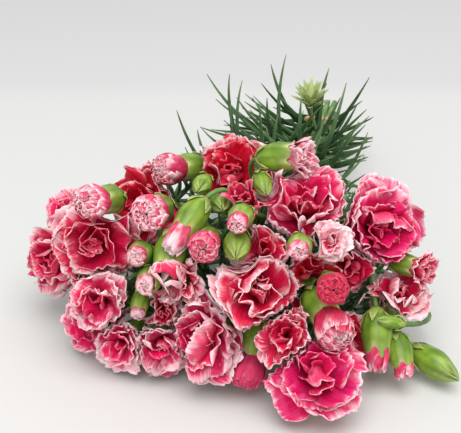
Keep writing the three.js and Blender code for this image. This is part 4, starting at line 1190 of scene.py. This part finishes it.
def tuft_petals(head, dice):
    size = head["size"]
    grown = OPEN_TUFTS[head["name"]] * size
    petals = []
    for level, whorl in enumerate(TUFT_WHORLS):
        for k in range(whorl["count"]):
            sign = 1 if dice() < 0.5 else -1
            petals.append(dict(
                angle=0.6 * level + (k + dice(-0.2, 0.2)) * 2 * math.pi / whorl["count"],
                tilt_from=math.radians(whorl["low"]), tilt_to=math.radians(whorl["high"] + dice(-12, 12)),
                late=1.0, roll=dice(-0.5, 0.5), start=whorl["start"] * size,
                length=whorl["length"] * grown * dice(0.88, 1.06),
                width=whorl["width"] * grown * dice(0.9, 1.1),
                height=-0.28 * size, cup=whorl["cup"] * dice(0.7, 1.3), fold=0.0, fold_at=0.0,
                ruffle=whorl["ruffle"] * dice(0.8, 1.3) * sign, waves=2.0 * dice(0.85, 1.2),
                phase=dice(0, 2 * math.pi), dent=dice(0, 0.08), teeth=0.05, twist=dice(-0.2, 0.4),
                rim=whorl["rim"] * dice(0.7, 1.3), tone=dice(), dice=dice))
    return petals


# %% [markdown]
# ## Furled buds
# A row is given by its number of petals, by how far out they lie (1 is the dome itself), and in degrees by
# how far up the dome they reach and by half of the angle that a petal covers. A closed bud's dome is as
# tall as its coloured tip shows in the photo, as a part of the bud's width.

# %% Furled petals
CLOSED_ROWS = ((3, 1.0, 62, 78), (3, 0.9, 76, 78), (3, 0.75, 86, 70), (3, 0.66, 122, 72))
OPENING_ROWS = ((4, 1.0, 36, 66), (4, 0.97, 50, 66), (4, 0.93, 62, 66), (4, 0.87, 72, 66),
                (3, 0.79, 80, 74), (3, 0.68, 86, 80), (3, 0.76, 122, 70))
CLOSED_DOME = 0.35
TIPS = {"bud_left_low": 0.24, "bud_left_mid": 0.24, "bud_left_high": 0.26, "bud_mid_left": 0.22,
        "bud_mid_top": 0.75, "bud_centre_top": 0.4, "bud_right_high": 0.3, "bud_low_right": 0.5,
        "bud_lower_right": 0.35}
HIGHEST = 1.5


def furled_petals(head, dice):
    """Petals of a furled bud: angles are in radians, and lengths in mm."""
    size = head["size"]
    if head["kind"] == "bud":
        radius, middle, low = CLOSED_DOME * size, -0.02 * size, -0.5
        tall, rows = TIPS[head["name"]] / CLOSED_DOME, CLOSED_ROWS
    else:
        radius, middle, low = 0.51 * size, 0.33 * size, -0.8
        tall, rows = 1.0, OPENING_ROWS
    petals = []
    for level, (count, inside, top, half) in enumerate(rows):
        for k in range(count):
            petals.append(dict(
                angle=0.9 * level + (k + dice(-0.2, 0.2)) * 2 * math.pi / count,
                half=math.radians(half) * dice(0.9, 1.1), twist=dice(0.5, 0.9), low=low,
                top=math.radians(top + dice(-8, 6)), radius=radius * inside * dice(0.97, 1.03),
                middle=middle, tall=tall, lap=0.035 * size, root=0.8 * size,
                neck=(0.35 - 0.03 * level) * size, ruffle=(0.032 + 0.007 * level) * size * dice(0.6, 1.3),
                waves=dice(2.2, 3.4), phase=dice(0, 6), teeth=0.08,
                rim=dice(0.4, 0.8), tone=dice(), dice=dice))
    return petals


# %% [markdown]
# ## Dressing the buds
# A furled petal's corners lie on the dome, at an angle round it and a height over its middle that both
# follow from the corner's place on the sheet. Its foot runs straight down into the calyx.

# %% Dress the buds
def out_from(axis, angle, wide):
    """Steps out from an axis, each with its own angle round it and its own width."""
    side, over = square_to(axis)
    return wide[:, None] * (np.cos(angle)[:, None] * side + np.sin(angle)[:, None] * over)


def furled_points(head, petal, sheet):
    """Places of a furled petal's corners on its dome, and the same values as petal_points gives."""
    columns, _, column, _ = sheet_marks(sheet)
    u, v = sheet[:, 0], sheet[:, 1]
    teeth = np.array([petal["dice"](0, 1) for k in range(columns + 1)])[column]
    top = np.minimum(petal["top"] * (1 - 0.3 * u ** 2), HIGHEST) - petal["teeth"] * teeth * (v > 0.99)
    lat = petal["low"] + (top - petal["low"]) * v
    turned = petal["angle"] + petal["half"] * u * (1 - 0.25 * v) + petal["twist"] * v
    wave = petal["ruffle"] * v ** 3 * np.sin(petal["waves"] * math.pi * u + petal["phase"])
    radius = petal["radius"] + petal["lap"] * u * (0.4 + 0.6 * v) + wave
    rise = petal["middle"] + radius * petal["tall"] * np.sin(lat) - petal["root"] * np.clip(0.25 - v, 0, 1)
    wide = np.maximum(radius * np.cos(lat), petal["neck"] * (v < 0.4))
    places = head["rim"] + out_from(head["axis"], turned, wide) + rise[:, None] * head["axis"]
    above = (1 - v) * (top - petal["low"]) * petal["radius"] * petal["tall"]
    beside = (1 - np.abs(u)) * petal["half"] * petal["radius"] * np.cos(lat) + 9 * np.maximum(0.85 - v, 0)
    return places, np.minimum(above, beside), 0.3 + 0.5 * v


for number, head in enumerate(heads):
    if head["name"] in OPEN_TUFTS:
        petal_piece(head, tuft_petals(head, Dice(300 + number)), petal_points, SMALL_PETAL)
    elif head["kind"] in ("opening", "bud"):
        petal_piece(head, furled_petals(head, Dice(300 + number)), furled_points, SMALL_PETAL)
print("buds dressed,", len(OPEN_TUFTS), "of them as open tufts")

# %% [markdown]
# ## Stems and stalks
# A tube follows every wire. Stems swell a little at the nodes where leaves stand, and stalks are thicker
# where they leave their stem. The pale young shoot gets a thin stalk of its own.

# %% Tubes
STEM_RINGS, STALK_RINGS = 60, 24
STEM_TUBE = tube_template("stem tube", 10, STEM_RINGS)
STALK_TUBE = tube_template("stalk tube", 8, STALK_RINGS)
NODE_SWELL, NODE_LENGTH = 0.7, 3.2
JOINT_SWELL = (0.5, 0.35, 0.15)
YOUNG_STALK, YOUNG_BEHIND = 1.1, 26


def resampled(points, count):
    run = run_along(points)
    marks = np.linspace(0, run[-1], count)
    return np.column_stack([np.interp(marks, run, points[:, k]) for k in range(3)])


def smoothed(points, rounds):
    points = points.copy()
    for _ in range(rounds):
        points[1:-1] = 0.5 * points[1:-1] + 0.25 * (points[:-2] + points[2:])
    return points


def directions(path):
    """The way that a chain of points runs at each of them."""
    along = np.gradient(path, axis=0)
    return along / np.linalg.norm(along, axis=1)[:, None]


def over_table(places, lowest):
    """Places that are kept over the table, by a height in millimetres."""
    places[:, 2] = np.maximum(places[:, 2], lowest)
    return places


def tube_points(template, middles, radii):
    """Places of a tube's corners round a chain of middles with a radius each."""
    shape = corners(template)
    ring = np.round(shape[:, 2]).astype(int)
    along = directions(middles)
    across = [square_to(along[0])[0]]
    for direction in along[1:]:
        across.append(unit(across[-1] - (across[-1] @ direction) * direction))
    across = np.array(across)
    over = np.cross(along, across)
    size = radii[ring][:, None]
    return middles[ring] + size * (shape[:, :1] * across[ring] + shape[:, 1:2] * over[ring])


def stem_part(wire, dice):
    is_stem = wire["stem"] is None
    template, rings = (STEM_TUBE, STEM_RINGS) if is_stem else (STALK_TUBE, STALK_RINGS)
    middles = smoothed(resampled(wire["points"], rings + 1), 2)
    radii = np.full(rings + 1, wire["radius"], float)
    if not is_stem:
        radii[:3] += np.array(JOINT_SWELL)
    for spray, place in nodes:
        if is_stem and spray == wire["spray"]:
            gap = np.linalg.norm(middles - wire["points"][place], axis=1)
            radii += NODE_SWELL * np.exp(-(gap / NODE_LENGTH) ** 2)
    places = over_table(tube_points(template, middles, radii), 0.02)
    return template, places, dict(tip=0.0, tone=dice())


def young_stalk(stem):
    """The thin stalk of the pale young shoot, from its stem up to its leaves."""
    place = int(np.argmin(np.abs(stem["points"][:, 1] - YOUNG_ROOT[1] - YOUNG_BEHIND)))
    start = stem["points"][place]
    chain = curve_points(start, start + [0, -14, 2],
                         YOUNG_ROOT - 12 * YOUNG_WAY, YOUNG_ROOT + 2 * YOUNG_WAY)
    middles = resampled(chain, STALK_RINGS + 1)
    places = tube_points(STALK_TUBE, middles, np.full(STALK_RINGS + 1, YOUNG_STALK))
    return STALK_TUBE, places, dict(tip=0.4, tone=0.6)


# %% [markdown]
# ## Calyces
# A calyx is a cup: its rings lead up its outside to a mouth that is cut into five teeth, and back down
# its inside. Each kind of head has its own teeth: how deep they are cut and how far they reach over the
# mouth, as parts of the calyx's length, and how far they spread. Twenty fine ribs run up the cup, and four
# small scales clasp its foot in pairs.
# Lighter and darker stripes run up the cup as well: partly its own veins, partly painted light streaks and
# shade.

# %% Cups and scales
CALYX_TUBE = tube_template("calyx tube", 30, 16)
SCALE = grid_template("scale sheet", 6, 7)
CUP_RISE = np.array([0, 0.03, 0.08, 0.15, 0.28, 0.42, 0.56, 0.7, 0.82, 0.92, 1.0,
                     1.02, 1.0, 0.92, 0.82, 0.7, 0.6])
CUP_INSET = np.array([0] * 11 + [0.25, 0.5, 0.6, 0.7, 0.8, 0.9])
TEETH = {"bloom": (0.2, 0.02, 0.05), "opening": (0.2, 0.06, -0.04),
         "bud": (0.17, 0.08, -0.02), "green": (0.3, 0.06, -0.1)}
RIB = 0.015
# Strength of the stripes up the cup: part vein colour, part painted light streaks and shade.
STRIPE_VEIN_AND_LIGHT = 0.45


def calyx_part(head, dice):
    shape = corners(CALYX_TUBE)
    ring = np.round(shape[:, 2]).astype(int)
    rise, inset = CUP_RISE[ring], CUP_INSET[ring]
    angle = np.arctan2(shape[:, 1], shape[:, 0])
    tooth = np.abs((angle * 5 / (2 * math.pi)) % 1 - 0.5) * 2
    depth, over, spread = TEETH[head["kind"]]
    late = np.clip((rise - 0.45) / 0.55, 0, 1) ** 1.5
    long = head["calyx_length"] * (rise + late * (over - (depth + over) * (1 - tooth) ** 1.2))

    stops, sizes = zip(*CALYX_SHAPE[head["kind"]])
    marks = np.linspace(0, 1, 40)
    profile = smoothed(np.interp(marks, stops, sizes)[:, None], 6)[:, 0]
    wide = head["belly"] * (np.interp(rise, marks, profile) + late * tooth * spread) + 0.12 - inset
    wide *= 1 + RIB * np.cos(angle * 20) * (rise > 0.1)
    wide = np.maximum(wide, 0.25)
    places = head["base"] + long[:, None] * head["axis"] + out_from(head["axis"], angle, wide)

    tip = np.clip(0.9 * late ** 2 * (0.25 + 0.75 * (1 - tooth)) + 0.35 * (rise < 0.12), 0, 1)
    # Stripes up the cup: partly the calyx's own veins, partly painted light streaks and shade along its
    # ribs.
    vein_and_light_stripes = STRIPE_VEIN_AND_LIGHT * np.cos(angle * 10) * (rise > 0.1)
    return CALYX_TUBE, over_table(places, 0.05), dict(tip=tip, tone=dice(0.2, 1.0) + vein_and_light_stripes)


def scale_parts(head, dice):
    """Four scales; the second and the fourth lie over the others and are shorter."""
    u, v = corners(SCALE)[:, :2].T
    stops, sizes = zip(*CALYX_SHAPE[head["kind"]])
    parts = []
    for k in range(4):
        reach = (0.34 if k % 2 else 0.42) * head["calyx_length"]
        along = v * (0.4 + 0.6 * (1 - u * u)) * reach - 0.4
        point = np.clip(1 - v, 0, 1) ** 0.7
        angle = k * math.pi / 2 + 0.4 + u * (0.15 + 0.75 * point)
        wide = head["belly"] * np.interp(along / head["calyx_length"], stops, sizes) + 0.45 + 0.25 * (k % 2)
        wide = wide + 0.5 * v ** 3
        places = head["base"] + along[:, None] * head["axis"] + out_from(head["axis"], angle, wide)
        values = dict(tip=0.45 * v + 0.1, tone=dice(0.3, 0.9))
        parts.append((SCALE, over_table(places, 0.3), values))
    return parts


# %% [markdown]
# ## Leaves
# A leaf is narrow, with a channel along its middle, and runs out into a fine point. It is widest at about
# a third of its length. Its tip is a little paler, and the young shoot's leaves are pale all over.

# %% Leaf blades
LEAF_MARKS_FINE, LEAF_MARKS_SHORT = 16, 8
LEAF = grid_template("leaf sheet", 4, LEAF_MARKS_FINE)
SHORT_LEAF = grid_template("short leaf sheet", 2, LEAF_MARKS_SHORT)
WIDEST = 0.3


def leaf_part(leaf, dice):
    template, marks = (SHORT_LEAF, LEAF_MARKS_SHORT) if leaf.get("short") else (LEAF, LEAF_MARKS_FINE)
    sheet = corners(template)
    path = leaf_path(leaf, marks)
    mark = np.clip(np.round(sheet[:, 1] * marks).astype(int), 0, marks)
    along = directions(path)
    hinge = np.cross(leaf["along"], leaf["out"])
    across = hinge - (along @ hinge)[:, None] * along
    across /= np.linalg.norm(across, axis=1)[:, None]
    over = np.cross(across, along)
    part = np.linspace(0, 1, marks + 1)
    half = 0.44 * leaf["width"] * np.where(
        part < WIDEST, 0.75 + 0.25 * part / WIDEST,
        1 - 0.9 * (np.maximum(part - WIDEST, 0) / (1 - WIDEST)) ** 2.2)
    channel = (1 - np.abs(sheet[:, 0])) * 0.34 * half[mark]
    bent = (-sheet[:, 0] * half[mark])[:, None] * across[mark]
    places = over_table(path[mark] + bent + channel[:, None] * over[mark], 0.4)
    return template, places, dict(tip=leaf.get("young", 0.15 * sheet[:, 1] ** 3), tone=dice())


# %% [markdown]
# ## Dressing the sprays
# Each spray gets four pieces: its stems, calyces, scales and leaves. Tubes are closed, and the sheets of
# scales and leaves get a thickness in millimetres.

# %% Green pieces
SCALE_THICK, LEAF_THICK = 0.4, 0.45
green_dice = Dice(51)
for number, spray in enumerate(sprays):
    own = [wire for wire in wires if wire["spray"] == number]
    tubes = [stem_part(wire, green_dice) for wire in own]
    if number == YOUNG_SPRAY:
        tubes.append(young_stalk(own[0]))
    cups = [calyx_part(head, green_dice) for head in spray["heads"]]
    scales = [part for head in spray["heads"] for part in scale_parts(head, green_dice)]
    blades = [leaf_part(leaf, green_dice) for leaf in leaves if leaf["spray"] == number]
    for kind, parts, material, thickness in (
            ("stems", tubes, stem_green, 0), ("calyces", cups, calyx_green, 0),
            ("scales", scales, calyx_green, SCALE_THICK), ("leaves", blades, leaf_green, LEAF_THICK)):
        mesh = copies(spray["name"] + " " + kind, parts)
        show(spray["name"] + "_" + kind, mesh, spray["name"], [material], thickness)
print(len(sprays), "sprays dressed")

# %% [markdown]
# ## Table
# The bunch lies on a plain pale table, which turns a little darker behind it, square to the camera's way.

# %% Table
TURN = math.radians(12)
NEAR_GREY, FAR_GREY = (0.638, 0.638, 0.62, 1), (0.60, 0.60, 0.595, 1)
table_material, tree, shader = new_material("table", {"Roughness": 0.6})
place = node(tree, "ShaderNodeTexCoord").outputs["Object"]
turned = mapped(tree, place, Rotation=(0, 0, -TURN))
far = node(tree, "ShaderNodeSeparateXYZ", [("Vector", turned)]).outputs["Y"]
tree.links.new(mix(tree, ramp(tree, far, 0.225, 0.285), NEAR_GREY, FAR_GREY), shader.inputs["Base Color"])

bm = bmesh.new()
bmesh.ops.create_grid(bm, x_segments=1, y_segments=1, size=6)
plane = bpy.data.objects.new("table", make_template("table", bm))
plane.location = (0, 0, -0.0002)
plane.data.materials.append(table_material)
bpy.context.collection.objects.link(plane)

# %% [markdown]
# ## Light
# A pale surrounding fills the shadows. A large soft lamp hangs over the bunch, a little in front of it,
# and a weaker one lights the heads from the camera's side.

# %% Lamps
world = bpy.data.worlds.new("studio")
world.use_nodes = True
surround = world.node_tree.nodes["Background"]
surround.inputs["Color"].default_value = (0.90, 0.90, 0.92, 1)
surround.inputs["Strength"].default_value = 0.71
bpy.context.scene.world = world
bpy.context.scene.view_settings.view_transform = "Standard"


def soft_light(name, place, aim, size, power, colour=(1, 1, 1)):
    data = bpy.data.lights.new(name, "AREA")
    data.shape = "DISK"
    data.size = size
    data.energy = power
    data.color = colour
    lamp = bpy.data.objects.new(name, data)
    lamp.location = place
    lamp.rotation_euler = (Vector(aim) - Vector(place)).to_track_quat("-Z", "Y").to_euler()
    bpy.context.collection.objects.link(lamp)


soft_light("overhead light", (0.3, -0.7, 1.9), (0, -0.1, 0), 2.0, 36.5)
soft_light("front light", (-0.1, -1.6, 1.2), (0, -0.15, 0.03), 1.2, 7.5, (1.0, 0.98, 0.96))

# %% [markdown]
# ## Camera
# The camera looks down at the heads by 27 degrees from their side and a little from the right. Seen in
# the photo's own pixels, its focal length is 1000 and the picture is 461 wide.

# %% Camera
CAMERA_AT = np.array([93.6, -562.2, 294.0]) + SHIFT
PITCH = math.radians(27)
SENSOR = 36
camera_data = bpy.data.cameras.new("camera")
camera_data.sensor_width = SENSOR
camera_data.lens = SENSOR * 1000 / 461
camera = bpy.data.objects.new("camera", camera_data)
camera.location = CAMERA_AT * MM
looking = Vector((-math.sin(TURN) * math.cos(PITCH), math.cos(TURN) * math.cos(PITCH), -math.sin(PITCH)))
camera.rotation_euler = looking.to_track_quat("-Z", "Y").to_euler()
bpy.context.collection.objects.link(camera)
bpy.context.scene.camera = camera
